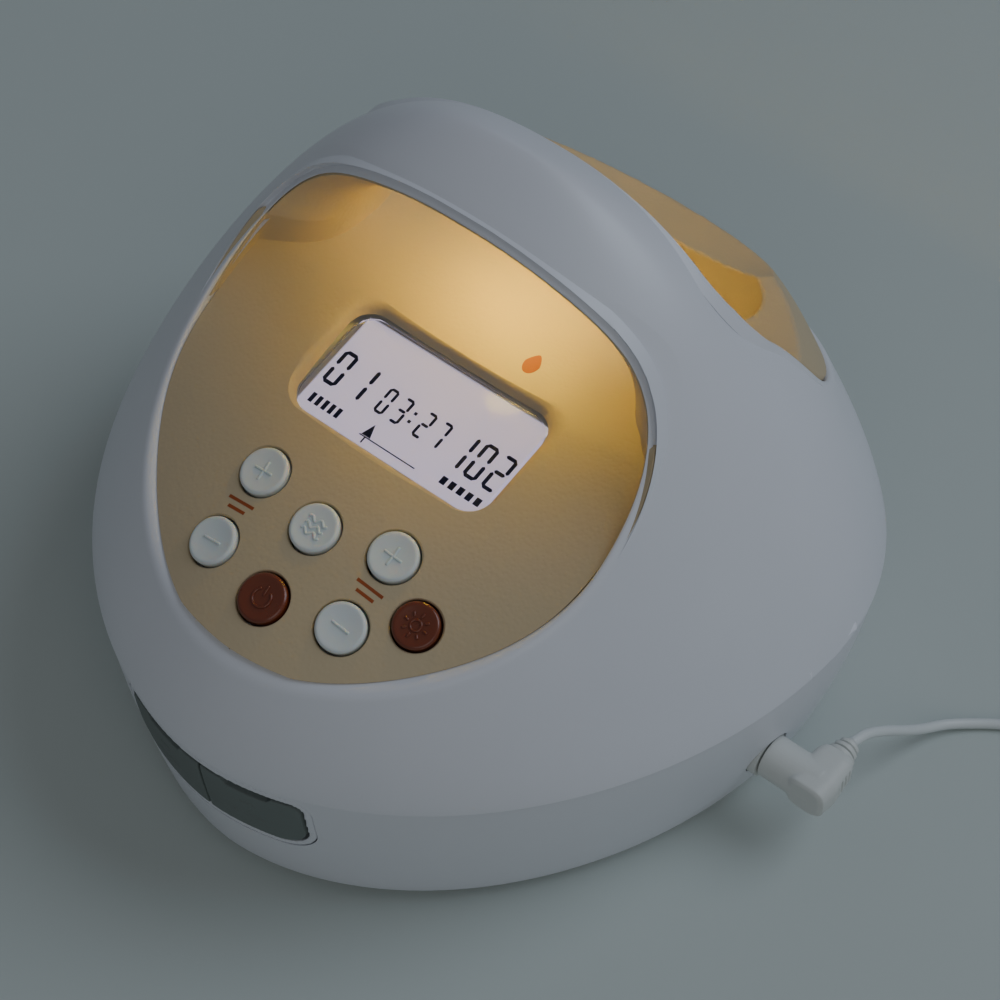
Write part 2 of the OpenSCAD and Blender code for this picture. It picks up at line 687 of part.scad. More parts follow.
// ---- power lead ----
jack_x = 89.6;
module dc_jack() {
    color("black") translate([jack_x, jack_y, jack_z]) rotate([0, -90, 0]) difference() {
        union() {
            cylinder(d = 12, h = 7);
            translate([-5.5, -5.5, 6.9]) cube([11, 11, 8]);
        }
        translate([0, 0, -1]) cylinder(r = 2.8, h = 12);
    }
}
plug_x = jack_x + 0.3;
plug_h = 11;              // thickness of the moulded plug
plug_reach = 13;          // from the jack's face to the elbow
plug_arm = 9;             // from the elbow to the strain relief
relief_l = 5.6;
module dc_plug() {
    color("gainsboro") difference() {
        union() {
            translate([plug_x - 9.6, jack_y, jack_z]) rotate([0, 90, 0]) cylinder(r = 2.7, h = 10);
            translate([plug_x, jack_y, jack_z]) rotate([0, 90, 0]) cylinder(d = plug_h, h = plug_reach);
            translate([plug_x + plug_reach, jack_y, jack_z]) sphere(d = plug_h);
            translate([plug_x + plug_reach, jack_y, jack_z]) rotate([-90, 0, 0]) cylinder(d = plug_h, h = plug_arm);
        }
        translate([plug_x - 12, jack_y, jack_z]) rotate([0, 90, 0]) cylinder(r = 1, h = 10);
    }
}
relief_y = jack_y + plug_arm + 0.1;
module plug_relief() {
    color("gainsboro") translate([plug_x + plug_reach, relief_y, jack_z]) rotate([-90, 0, 0]) {
        for (i = [0 : 2]) translate([0, 0, i * 1.9]) cylinder(d = 8 - i * 1.2, h = 1.3);
        cylinder(d = 4.4, h = relief_l);
    }
}
lead_x = plug_x + plug_reach;
coil_c = [190, 84];       // centre of the stored coil on the table
coil_r = 15.6;            // radius at the middle of its turns
coil_bundle = 10.4;       // width and height of the wound bundle
route = [[lead_x, relief_y + relief_l + 0.1, jack_z], [103.8, 24, 19.4], [105.6, 30, 15.4], [107.6, 36, 10.4],
         [109.4, 42, 5.8], [112.2, 48.4, 2.8], [116.6, 53.4, 1.6], [122.2, 57.8, 1.4], [130, 62.4, 1.4],
         [141, 66, 1.4], [153, 67.6, 1.4], [164, 67.4, 1.7], [173, 67, 2.4], [182, 67.2, 3.2], [190, 68.4, 4]];
module lead_tube() { color("whitesmoke") hose(smooth(route, 3), lead_d); }
module lead_coil() {
    color("whitesmoke") translate([coil_c[0], coil_c[1], 0.02]) rotate_extrude($fn = 64)
        translate([coil_r - coil_bundle / 2, 0]) square([coil_bundle, coil_bundle]);
}
tail_route = [[190, 99.6, 6], [180, 102, 5], [169, 103, 3], [158, 100.5, 2.8], [150.5, 102, 5], [148, 106.6, 8.4],
              [148, 112.4, 11]];
module lead_tail() { color("whitesmoke") hose(smooth(tail_route, 3), lead_d); }
module lead_tie() {
    color("dimgray") translate([coil_c[0] + coil_r, coil_c[1], 0.02]) rotate([90, 0, 0])
        translate([0, 0, -2]) linear_extrude(4) difference() {
            translate([-coil_bundle / 2 - 1, -0.02]) square([coil_bundle + 2, coil_bundle + 1]);
            translate([-coil_bundle / 2 - 0.4, -1]) square([coil_bundle + 0.8, coil_bundle + 1.1]);
        }
}
module wall_adapter() {
    color("white") difference() {
        translate([128, 113.1, 0.02]) cube([40, 52, 28]);
        translate([143, 116, 27]) cube([10, 20, 2]);
    }
}
module adapter_prongs() {
    color("silver") for (x = [141.5, 154.5]) translate([x - 0.8, 165.2, 11]) cube([1.6, 17, 6.4]);
}

upper_shell();
base_shell();
control_fascia();
rear_recess();
handle_liner();
lcd_window();
lcd_panel();
lcd_holder();
cycle_up_key();
cycle_down_key();
vacuum_up_key();
vacuum_down_key();
mode_key();
power_key();
light_key();
key_switches();
control_board();
night_light_lens();
night_light_board();
main_board();
ribbon_cable();
port_bezel();
port_cap_left();
port_cap_right();
suction_port_left();
suction_port_right();
motor();
motor_clamp();
drive_eccentric();
pump_rod();
diaphragm();
pump_body();
pump_head();
release_valve();
valve_plunger();
air_splitter();
air_hoses();
dc_jack();
dc_plug();
plug_relief();
lead_tube();
lead_coil();
lead_tail();
lead_tie();
wall_adapter();
adapter_prongs();
rubber_feet();
base_screws();
board_screws();
handle_screws();
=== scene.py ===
"""Looks of a double electric breast pump: a white domed housing with a carrying arch, a leathered
sand-coloured control panel with a lit display, seven keys, rubber port flaps and a low-voltage lead."""

import json
import logging
import math
from dataclasses import dataclass, field
from enum import Enum
from typing import Iterable, Sequence

import bmesh
import bpy
import numpy as np
from mathutils import Matrix, Vector


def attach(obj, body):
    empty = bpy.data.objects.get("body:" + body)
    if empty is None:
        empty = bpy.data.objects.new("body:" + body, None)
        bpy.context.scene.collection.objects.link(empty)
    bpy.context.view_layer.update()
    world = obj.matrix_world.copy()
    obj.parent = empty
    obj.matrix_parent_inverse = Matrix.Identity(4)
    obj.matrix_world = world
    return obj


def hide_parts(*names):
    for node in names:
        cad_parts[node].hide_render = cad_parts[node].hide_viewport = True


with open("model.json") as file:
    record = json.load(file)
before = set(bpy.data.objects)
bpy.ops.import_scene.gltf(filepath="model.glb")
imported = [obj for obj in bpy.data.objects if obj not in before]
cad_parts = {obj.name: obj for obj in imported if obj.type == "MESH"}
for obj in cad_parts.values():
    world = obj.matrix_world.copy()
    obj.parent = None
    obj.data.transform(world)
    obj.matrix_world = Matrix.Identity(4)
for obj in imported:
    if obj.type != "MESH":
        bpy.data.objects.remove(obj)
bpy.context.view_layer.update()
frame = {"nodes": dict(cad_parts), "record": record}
MM = 0.001
HOUSING = "housing"
log = logging.getLogger("pump")


# ---------------------------------------------------------------- finishes

def linear(code: str) -> tuple[float, float, float, float]:
    """Turns an sRGB hex colour into linear RGBA.

    Args:
        code: six hex digits, with or without a leading hash.

    Returns:
        Red, green, blue and alpha from 0 to 1.
    """
    digits = code.lstrip("#")
    parts = [int(digits[i:i + 2], 16) / 255 for i in (0, 2, 4)]
    return (*[c / 12.92 if c <= 0.04045 else ((c + 0.055) / 1.055) ** 2.4 for c in parts], 1.0)


def add_node(tree: bpy.types.NodeTree, kind: str, inputs: dict | None = None, **settings) -> bpy.types.Node:
    """Adds a node with its settings and links.

    Args:
        tree: the tree that takes the node.
        kind: the node's type name.
        inputs: input name or index to a value, or to the output socket that feeds it.
        settings: properties of the node itself.

    Returns:
        The new node.
    """
    node = tree.nodes.new(kind)
    for key, value in settings.items():
        setattr(node, key, value)
    for key, value in (inputs or {}).items():
        if isinstance(value, bpy.types.NodeSocket):
            tree.links.new(value, node.inputs[key])
        else:
            node.inputs[key].default_value = value
    return node


class Grain(Enum):
    """How a surface was made, as far as its relief shows it."""

    SPARKED = "spark-eroded mould, a fine even orange peel"
    LEATHERED = "etched leather grain"
    POLISHED = "polished mould, almost flat"
    BRUSHED = "drawn or rolled metal"
    LAMINATE = "glass cloth laminate"


@dataclass(frozen=True)
class Finish:
    """One real material and how its surface was made.

    The grain is the size in millimetres of one bump, and depth is its height.
    """

    name: str
    slot: str
    colour: str
    roughness: float
    grain: Grain = Grain.SPARKED
    grain_mm: float = 0.8
    depth_mm: float = 0.01
    ior: float = 1.5
    metallic: float = 0.0
    mottle: float = 0.03
    coat: float = 0.0
    glow: float = 0.0
    glow_colour: str = "#FFFFFF"
    clear: float = 0.0
    under: float = 0.0

    def build(self) -> bpy.types.Material:
        """Makes the material, or returns it if it is there already."""
        found = bpy.data.materials.get(self.name)
        if found:
            return found
        material = bpy.data.materials.new(self.name)
        material.use_nodes = True
        tree = material.node_tree
        tree.nodes.clear()
        place = add_node(tree, "ShaderNodeTexCoord").outputs["Object"]
        shader = add_node(tree, "ShaderNodeBsdfPrincipled", {
            "IOR": self.ior, "Metallic": self.metallic, "Coat Weight": self.coat,
            "Coat Roughness": 0.08, "Transmission Weight": self.clear,
            "Subsurface Weight": self.under, "Subsurface Scale": 2 * MM,
            "Base Color": self.tone(tree, place), "Roughness": self.sheen(tree, place),
            "Normal": self.relief(tree, place)})
        if self.glow:
            shader.inputs["Emission Color"].default_value = linear(self.glow_colour)
            shader.inputs["Emission Strength"].default_value = self.glow
        add_node(tree, "ShaderNodeOutputMaterial", {"Surface": shader.outputs["BSDF"]})
        return material

    def tone(self, tree: bpy.types.NodeTree, place: bpy.types.NodeSocket) -> bpy.types.NodeSocket:
        """Colour with the faint cloudiness of a moulded part, a few centimetres across."""
        cloud = add_node(tree, "ShaderNodeTexNoise", {"Vector": place, "Scale": 1 / (28 * MM), "Detail": 3})
        base = linear(self.colour)
        low = [c * (1 - self.mottle) for c in base[:3]] + [1]
        high = [min(1, c * (1 + self.mottle)) for c in base[:3]] + [1]
        mix = add_node(tree, "ShaderNodeMix", {"Factor": cloud.outputs["Fac"]}, data_type="RGBA")
        mix.inputs[6].default_value = low
        mix.inputs[7].default_value = high
        return mix.outputs[2]

    def sheen(self, tree: bpy.types.NodeTree, place: bpy.types.NodeSocket) -> bpy.types.NodeSocket:
        """Roughness that drifts a little, as handled plastic does."""
        worn = add_node(tree, "ShaderNodeTexNoise", {"Vector": place, "Scale": 1 / (9 * MM), "Detail": 4})
        span = add_node(tree, "ShaderNodeMapRange", {
            "Value": worn.outputs["Fac"], "To Min": max(0.02, self.roughness - 0.04),
            "To Max": self.roughness + 0.04})
        return span.outputs["Result"]

    def relief(self, tree: bpy.types.NodeTree, place: bpy.types.NodeSocket) -> bpy.types.NodeSocket:
        """Bump of the surface's own grain, at its real size."""
        scale = 1 / (self.grain_mm * MM)
        if self.grain is Grain.LEATHERED:
            cells = add_node(tree, "ShaderNodeTexVoronoi", {
                "Vector": place, "Scale": scale, "Randomness": 1.0}, feature="SMOOTH_F1")
            folds = add_node(tree, "ShaderNodeTexNoise", {
                "Vector": place, "Scale": scale * 0.45, "Detail": 3})
            height = add_node(tree, "ShaderNodeMath", {0: cells.outputs["Distance"], 1: folds.outputs["Fac"]},
                              operation="ADD").outputs["Value"]
        elif self.grain is Grain.BRUSHED:
            drawn = add_node(tree, "ShaderNodeMapping", {"Vector": place, "Scale": (0.04, 1.0, 1.0)})
            height = add_node(tree, "ShaderNodeTexNoise", {"Vector": drawn.outputs["Vector"], "Scale": scale,
                                                           "Detail": 2}).outputs["Fac"]
        elif self.grain is Grain.LAMINATE:
            weave = add_node(tree, "ShaderNodeTexWave", {
                "Vector": place, "Scale": scale / 6, "Distortion": 0.4})
            height = weave.outputs["Fac"]
        else:
            height = add_node(tree, "ShaderNodeTexNoise", {"Vector": place, "Scale": scale, "Detail": 2,
                                                           "Roughness": 0.55}).outputs["Fac"]
        bump = add_node(tree, "ShaderNodeBump", {"Height": height, "Distance": self.depth_mm * MM,
                                                 "Strength": 0.25 if self.grain is Grain.POLISHED else 0.8})
        return bump.outputs["Normal"]


class Finishes:
    """Every finish on the object, by what it is in real life."""

    # Injection-moulded ABS from a fine spark-eroded tool: soft highlights, faintly cool white
    shell = Finish("abs_spark_eroded_white", "shell_white", "#E2E3E9", 0.36, grain_mm=0.7,
                   depth_mm=0.012, ior=1.53)
    # ABS from an etched tool: leather grain drawn about twice its real size so that it shows
    sand = Finish("abs_leather_etched_sand", "sand_leathered", "#C5B290", 0.52, Grain.LEATHERED,
                  grain_mm=0.9, depth_mm=0.07, ior=1.53, mottle=0.05)
    # Silicone-coated keys with a soft, waxy depth
    key_white = Finish("silicone_keycap_white", "key_white", "#DDE3E2", 0.42, grain_mm=0.5, depth_mm=0.006,
                       ior=1.43, under=0.15)
    # Tinted translucent polycarbonate, glossy
    key_amber = Finish("polycarbonate_tinted_amber", "key_amber", "#74341A", 0.28, Grain.POLISHED,
                       grain_mm=1.5, depth_mm=0.006, ior=1.58, under=0.1, coat=0.3)
    # Moulded elastomer flaps, dusty and dull
    flap = Finish("tpe_moulded_grey", "cap_rubber", "#727A77", 0.68, grain_mm=0.5, depth_mm=0.02, ior=1.5,
                  mottle=0.06)
    # Lit liquid crystal glass, pale lavender from its backlight
    lcd = Finish("lcd_glass_backlit", "lcd_glass", "#C9C6DC", 0.3, Grain.POLISHED, grain_mm=4, depth_mm=0.002,
                 glow=0.62, glow_colour="#E6DCEE", mottle=0.02)
    # Printed liquid crystal segments, navy black
    ink = Finish("lcd_segment_navy", "lcd_glass", "#141C3C", 0.45, Grain.POLISHED, grain_mm=2, depth_mm=0.001)
    # Clear acrylic window over the display
    window = Finish("acrylic_clear_window", "window_clear", "#F4F2FA", 0.08, Grain.POLISHED, grain_mm=8,
                    depth_mm=0.002, ior=1.12, clear=1.0, mottle=0.0)
    # Pad-printed marks on the panel
    print_amber = Finish("pad_print_amber", "sand_leathered", "#9C4A1C", 0.6, grain_mm=0.4, depth_mm=0.004)
    # Frosted polycarbonate with a warm diode behind it
    lens = Finish("polycarbonate_frosted_lit", "lens_frosted", "#F6EBCB", 0.5, grain_mm=0.5, depth_mm=0.01,
                  ior=1.58, glow=88.0, glow_colour="#FFD540")
    # Uncoloured ABS of the hidden mouldings
    inner = Finish("abs_natural_inner", "inner_plastic", "#CFCFCB", 0.5, grain_mm=0.9, depth_mm=0.015)
    # Glass-filled nylon, moulded black
    black = Finish("nylon_moulded_black", "black_plastic", "#141414", 0.5, grain_mm=0.5, depth_mm=0.01)
    # Glass cloth in epoxy under green solder resist
    board = Finish("glass_epoxy_green", "circuit_board", "#0E4A2C", 0.4, Grain.LAMINATE, grain_mm=0.5,
                   depth_mm=0.01)
    # Flat PVC ribbon, its ridges one conductor apart
    ribbon = Finish("pvc_ribbon_grey", "cable_grey", "#A6A6A6", 0.5, Grain.BRUSHED, grain_mm=1.27,
                    depth_mm=0.1)
    # Drawn steel, nickel plated
    steel = Finish("steel_nickel_plated", "plated_steel", "#C4C4C6", 0.3, Grain.BRUSHED, grain_mm=0.4,
                   depth_mm=0.004, metallic=1.0)
    # Compression-moulded rubber
    rubber = Finish("rubber_moulded_black", "black_rubber", "#1A1A1A", 0.75, grain_mm=0.6, depth_mm=0.02)
    # Nylon valve body, moulded blue
    valve = Finish("nylon_moulded_blue", "valve_blue", "#4A6FA0", 0.45, grain_mm=0.6, depth_mm=0.01)
    # Extruded silicone, milky and translucent
    hose = Finish("silicone_extruded_clear", "hose_silicone", "#DDE0DA", 0.3, Grain.POLISHED, grain_mm=3,
                  depth_mm=0.01, ior=1.43, under=0.3)
    # Overmoulded PVC plug in warm light grey
    plug = Finish("pvc_overmoulded_light_grey", "plug_grey", "#D6D8D4", 0.48, grain_mm=0.6, depth_mm=0.012)
    # Extruded PVC jacket
    lead = Finish("pvc_extruded_white", "lead_white", "#DADEDD", 0.42, Grain.POLISHED, grain_mm=2,
                  depth_mm=0.01)
    # Injection-moulded ABS case from a coarser spark-eroded tool
    adapter = Finish("abs_spark_eroded_adapter", "adapter_white", "#DFE1E0", 0.45, grain_mm=0.8,
                     depth_mm=0.02)
    # Painted sweep of the studio
    sweep = Finish("paint_matt_backdrop", "stage", "#C2CAC6", 0.85, grain_mm=3, depth_mm=0.0, mottle=0.01)

    @classmethod
    def by_slot(cls, slot: str) -> Finish:
        """The first finish listed for a material slot of the record."""
        return next(f for f in vars(cls).values() if isinstance(f, Finish) and f.slot == slot)


# ---------------------------------------------------------------- mesh helpers

def make_piece(name: str, points: np.ndarray, faces: Sequence[Sequence[int]]) -> bpy.types.Object:
    """Makes a mesh object from points in millimetres, with its doubles merged and its faces outward.

    Args:
        name: the object's name.
        points: n by 3 array, in millimetres.
        faces: lists of point numbers.

    Returns:
        The object, in metres, at the origin.
    """
    mesh = bpy.data.meshes.new(name)
    mesh.from_pydata((np.asarray(points, float) * MM).tolist(), [], [list(f) for f in faces])
    work = bmesh.new()
    work.from_mesh(mesh)
    bmesh.ops.remove_doubles(work, verts=work.verts, dist=1e-6)
    bmesh.ops.dissolve_degenerate(work, edges=work.edges, dist=1e-7)
    bmesh.ops.recalc_face_normals(work, faces=work.faces)
    work.to_mesh(mesh)
    work.free()
    piece = bpy.data.objects.new(name, mesh)
    bpy.context.scene.collection.objects.link(piece)
    return piece


def grid_faces(rows: int, columns: int, closed: bool = False) -> list[tuple[int, int, int, int]]:
    """Quads between rows of points.

    Args:
        rows: how many rows there are.
        columns: points in each row.
        closed: True if each row runs round and meets itself.

    Returns:
        Faces as point numbers.
    """
    last = columns if closed else columns - 1
    return [(i * columns + j, i * columns + (j + 1) % columns,
             (i + 1) * columns + (j + 1) % columns, (i + 1) * columns + j)
            for i in range(rows - 1) for j in range(last)]


def loft(name: str, rings: Sequence[np.ndarray]) -> bpy.types.Object:
    """Makes a closed solid skinned over rings that have the same number of points."""
    count = len(rings[0])
    faces: list[Sequence[int]] = list(grid_faces(len(rings), count, closed=True))
    faces.append(list(range(count)))
    faces.append([(len(rings) - 1) * count + i for i in range(count)])
    return make_piece(name, np.concatenate(rings), faces)


def bake(piece: bpy.types.Object) -> bpy.types.Object:
    """Turns a piece's modifiers into plain mesh and removes them."""
    graph = bpy.context.evaluated_depsgraph_get()
    mesh = bpy.data.meshes.new_from_object(piece.evaluated_get(graph))
    piece.modifiers.clear()
    piece.data = mesh
    return piece


def drop(*pieces: bpy.types.Object) -> None:
    """Removes helper objects."""
    for piece in pieces:
        bpy.data.objects.remove(piece, do_unlink=True)


def combine(piece: bpy.types.Object, tool: bpy.types.Object, operation: str = "DIFFERENCE",
            keep: bool = False) -> bpy.types.Object:
    """Cuts, joins or intersects a piece with a tool body.

    Args:
        piece: the body that is changed.
        tool: the body it is changed with.
        operation: DIFFERENCE, UNION or INTERSECT.
        keep: True if the tool is used again.

    Returns:
        The changed piece.
    """
    modifier = piece.modifiers.new("combine", "BOOLEAN")
    modifier.object = tool
    modifier.operation = operation
    modifier.solver = "MANIFOLD"
    bake(piece)
    if not keep:
        drop(tool)
    return piece


def soften(piece: bpy.types.Object, voxel_mm: float, rounds: int) -> bpy.types.Object:
    """Remeshes a solid evenly and smooths it, which rolls its edges as a moulding's are."""
    modifier = piece.modifiers.new("even", "REMESH")
    modifier.mode = "VOXEL"
    modifier.voxel_size = voxel_mm * MM
    smooth = piece.modifiers.new("smooth", "SMOOTH")
    smooth.factor = 0.5
    smooth.iterations = rounds
    bake(piece)
    piece.data.shade_smooth()
    return piece


def thicken(piece: bpy.types.Object, thickness_mm: float, offset: float = -1.0) -> bpy.types.Object:
    """Gives a sheet a wall; offset -1 grows it inward and 1 outward."""
    modifier = piece.modifiers.new("wall", "SOLIDIFY")
    modifier.thickness = thickness_mm * MM
    modifier.offset = offset
    return bake(piece)


def shade(piece: bpy.types.Object, angle: float = 32.0) -> bpy.types.Object:
    """Shades smoothly except across edges sharper than angle, in degrees."""
    piece.data.shade_smooth()
    piece.data.set_sharp_from_angle(angle=math.radians(angle))
    return piece


def mount(piece: bpy.types.Object, finish: Finish, body: str = HOUSING,
          stands_for: Iterable[str] = ()) -> bpy.types.Object:
    """Gives a finished piece its material and its body, and hides the CAD nodes that it stands for."""
    piece.data.materials.clear()
    piece.data.materials.append(finish.build())
    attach(piece, body)
    if stands_for:
        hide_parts(*stands_for)
    log.info("%s: %d faces", piece.name, len(piece.data.polygons))
    return piece


def join(name: str, pieces: Sequence[bpy.types.Object]) -> bpy.types.Object:
    """Joins meshes into one object with a new name."""
    points, faces, start = [], [], 0
    for piece in pieces:
        co = np.array([v.co for v in piece.data.vertices]) / MM
        points.append(co)
        faces += [[start + i for i in p.vertices] for p in piece.data.polygons]
        start += len(co)
    drop(*pieces)
    return make_piece(name, np.concatenate(points), faces)


def cylinder(name: str, radius: float, low: float, high: float, sides: int = 64) -> bpy.types.Object:
    """Makes a solid round bar along Z, in millimetres, with its own origin at 0."""
    angles = np.linspace(0, 2 * math.pi, sides, endpoint=False)
    ring = np.stack([radius * np.cos(angles), radius * np.sin(angles), np.zeros(sides)], 1)
    return loft(name, [ring + [0, 0, z] for z in (low, high)])


def lathe(name: str, profile: Sequence[tuple[float, float]], sides: int = 96) -> bpy.types.Object:
    """Turns a profile of (radius, height) points in millimetres about Z; radius 0 closes an end."""
    angles = np.linspace(0, 2 * math.pi, sides, endpoint=False)
    rows = [np.stack([r * np.cos(angles), r * np.sin(angles), np.full(sides, z)], 1) for r, z in profile]
    return make_piece(name, np.concatenate(rows), grid_faces(len(rows), sides, closed=True))


def place(piece: bpy.types.Object, matrix: Matrix) -> bpy.types.Object:
    """Moves a mesh itself by a matrix whose shift is in millimetres."""
    shift = matrix.copy()
    shift.translation *= MM
    piece.data.transform(shift)
    piece.data.update()
    return piece


# ---------------------------------------------------------------- form of the housing

@dataclass(frozen=True)
class Form:
    """The rules that the housing's surfaces follow, in millimetres."""

    seam_half_w: float = 95.0
    front_reach: float = 112.0
    back_reach: float = 73.0
    seam_z: float = 48.5
    crown_z: float = 151.5
    crown_y: float = 19.5
    front_n: float = 1.85
    back_n: float = 2.1
    mouth_half_w: float = 58.0
    mouth_mid_z: float = 97.0
    mouth_up: float = 44.8
    mouth_down: float = 23.0
    panel_back_y: float = 34.5
    recess_z: float = 100.0
    floor_z: float = 1.5
    base_inset: float = 0.6
    edge_r: float = 5.0
    back_swell: float = 4.0
    back_widening: float = 8.0

    def tuck(self, z: np.ndarray) -> np.ndarray:
        """How far a level below the seam draws in, from 0 to 1."""
        return np.clip(1 - z / self.seam_z, 0, 1) ** 1.5

    def rise(self, z: np.ndarray) -> np.ndarray:
        """Height above the seam as a share of the dome's."""
        return np.clip((z - self.seam_z) / (self.crown_z - self.seam_z), 0, 1)

    def half_w(self, z: np.ndarray) -> np.ndarray:
        """Half width of the housing at a level."""
        above = np.sqrt(1 - self.rise(z) ** 1.1)
        return self.seam_half_w * np.where(z >= self.seam_z, above, 1 - 0.10 * self.tuck(z))

    def reach(self, z: np.ndarray, front: bool) -> np.ndarray:
        """Reach of the housing from the crown line at a level, to the front or the back."""
        length, power, draw = (self.front_reach, 1.42, 0.06) if front else (self.back_reach, 1.55, 0.16)
        above = (1 - self.rise(z) ** power) ** (1 / 1.2)
        swell = 0.0 if front else self.back_swell * np.exp(-((z - 97) / 14) ** 2)
        return length * np.where(z >= self.seam_z, above, 1 - draw * self.tuck(z)) + swell

    def skin_y(self, x: np.ndarray, z: np.ndarray, front: bool, inset: float = 0.0) -> np.ndarray:
        """Y of the dome's surface over a place seen from the front."""
        n = self.front_n if front else self.back_n
        share = np.clip(np.abs(x) / np.maximum(0.1, self.half_w(z) - inset), 0, 1)
        depth = np.maximum(0, self.reach(z, front) - inset) * (1 - share ** n) ** (1 / n)
        return self.crown_y + (-depth if front else depth)

    def ring(self, z: float, inset: float = 0.0, count: int = 256) -> np.ndarray:
        """One level ring of the housing, counter-clockwise from above."""
        turn = np.linspace(0, 2 * math.pi, count, endpoint=False)
        s, c = np.sin(turn), np.cos(turn)
        n = np.where(s < 0, self.front_n, self.back_n)
        level = np.array(float(z))
        reach = np.where(s < 0, self.reach(level, True), self.reach(level, False))
        x = max(0.2, float(self.half_w(level)) - inset) * np.sign(c) * np.abs(c) ** (2 / n)
        y = self.crown_y + np.maximum(0.2, reach - inset) * np.sign(s) * np.abs(s) ** (2 / n)
        return np.stack([x, y, np.full(count, float(z))], 1)

    def mouth(self, turn: np.ndarray, inset: float = 0.0) -> tuple[np.ndarray, np.ndarray]:
        """X and Z of the oval opening at angles from the +X side."""
        s, c = np.sin(turn), np.cos(turn)
        power = np.where(s < 0, 2 / 2.5, 1.0)
        half_h = np.where(s < 0, self.mouth_down, self.mouth_up) - inset
        return ((self.mouth_half_w - inset) * np.sign(c) * np.abs(c) ** power,
                self.mouth_mid_z + half_h * np.sign(s) * np.abs(s) ** power)

    def mouth_along(self, cx: np.ndarray, cz: np.ndarray, front: bool = True) -> np.ndarray:
        """Distance from the oval's centre to its edge along directions (cx, cz).

        Args:
            cx: sideways share of each direction.
            cz: climbing share of each direction.
            front: False for the rear oval, which is wider low down.

        Returns:
            Distances, in millimetres.
        """
        power = np.where(cz < 0, 2.5, 2.0)
        half_h = np.where(cz < 0, self.mouth_down, self.mouth_up)
        half_w = self.mouth_half_w + (0.0 if front else self.widening(cz))
        return ((np.abs(cx) / half_w) ** power + (np.abs(cz) / half_h) ** power) ** (-1 / power)

    def widening(self, rise: np.ndarray) -> np.ndarray:
        """Extra half width of the rear opening in a direction whose climb is rise, from -1 to 1."""
        share = np.clip((0.22 - rise) / 0.5, 0, 1)
        return self.back_widening * share * share * (3 - 2 * share)

    def panel_z(self, x: np.ndarray, y: np.ndarray) -> np.ndarray:
        """Height of the control panel's surface."""
        fade = np.where(y < 0, 1, np.clip(1 - (y / self.panel_back_y) ** 2, 0, 1))
        turn = np.minimum(0, y)
        return (99.1 + 0.116 * y - 0.00248 * y * y
                + fade * ((0.00065 + 0.0000768 * turn) * x * x + 2.2e-7 * x ** 4))

    def flare(self, turn: np.ndarray, across: np.ndarray) -> np.ndarray:
        """Scale of the tunnel through the arch, narrowest under the crown."""
        x, z = self.mouth(turn)
        reach = np.clip(self.crown_y - self.skin_y(x, z, True), 6, 22)
        throat = 0.26 - 0.10 * np.clip(np.sin(turn), 0, 1)
        return 1 - throat * (1 - np.clip(np.abs(across) / reach, 0, 1) ** 3)

    def dome(self, name: str, inset: float, low: float, levels: int = 90) -> bpy.types.Object:
        """Solid dome above a level, set in all round."""
        share = 1 - np.linspace(1, 0, levels + 1) ** 1.8
        heights = low + (self.crown_z - inset - low) * share
        return loft(name, [self.ring(min(z, self.crown_z - 0.02), inset) for z in heights])

    def tub(self, name: str, inset: float, count: int = 256) -> bpy.types.Object:
        """Solid of the base below the seam with its lower edge rounded, set in all round."""
        bend = np.linspace(0, math.pi / 2, 9)
        rounded = [(self.floor_z + self.edge_r * (1 - math.cos(a)), self.edge_r * (1 - math.sin(a)))
                   for a in bend]
        walls = [(z, 0.0) for z in np.linspace(self.floor_z + self.edge_r, self.seam_z, 14)[1:]]
        return loft(name, [self.ring(z, inset + self.base_inset + d, count) for z, d in rounded + walls])

    def mouth_bar(self, name: str, inset: float) -> bpy.types.Object:
        """Straight bar with the rear oval's outline, along Y."""
        turn = np.linspace(0, 2 * math.pi, 256, endpoint=False)
        along = self.mouth_along(np.cos(turn), np.sin(turn), front=False) - inset
        x, z = along * np.cos(turn), self.mouth_mid_z + along * np.sin(turn)
        return loft(name, [np.stack([x, np.full(256, y), z], 1) for y in (-130.0, 130.0)])


FORM = Form()


def box_solid(name: str, low: Sequence[float], high: Sequence[float]) -> bpy.types.Object:
    """Makes a plain box used as a cutting tool, in millimetres."""
    (x0, y0, z0), (x1, y1, z1) = low, high
    ring = np.array([[x0, y0, 0], [x1, y0, 0], [x1, y1, 0], [x0, y1, 0]], float)
    return loft(name, [ring + [0, 0, z] for z in (z0, z1)])


# ---------------------------------------------------------------- studio

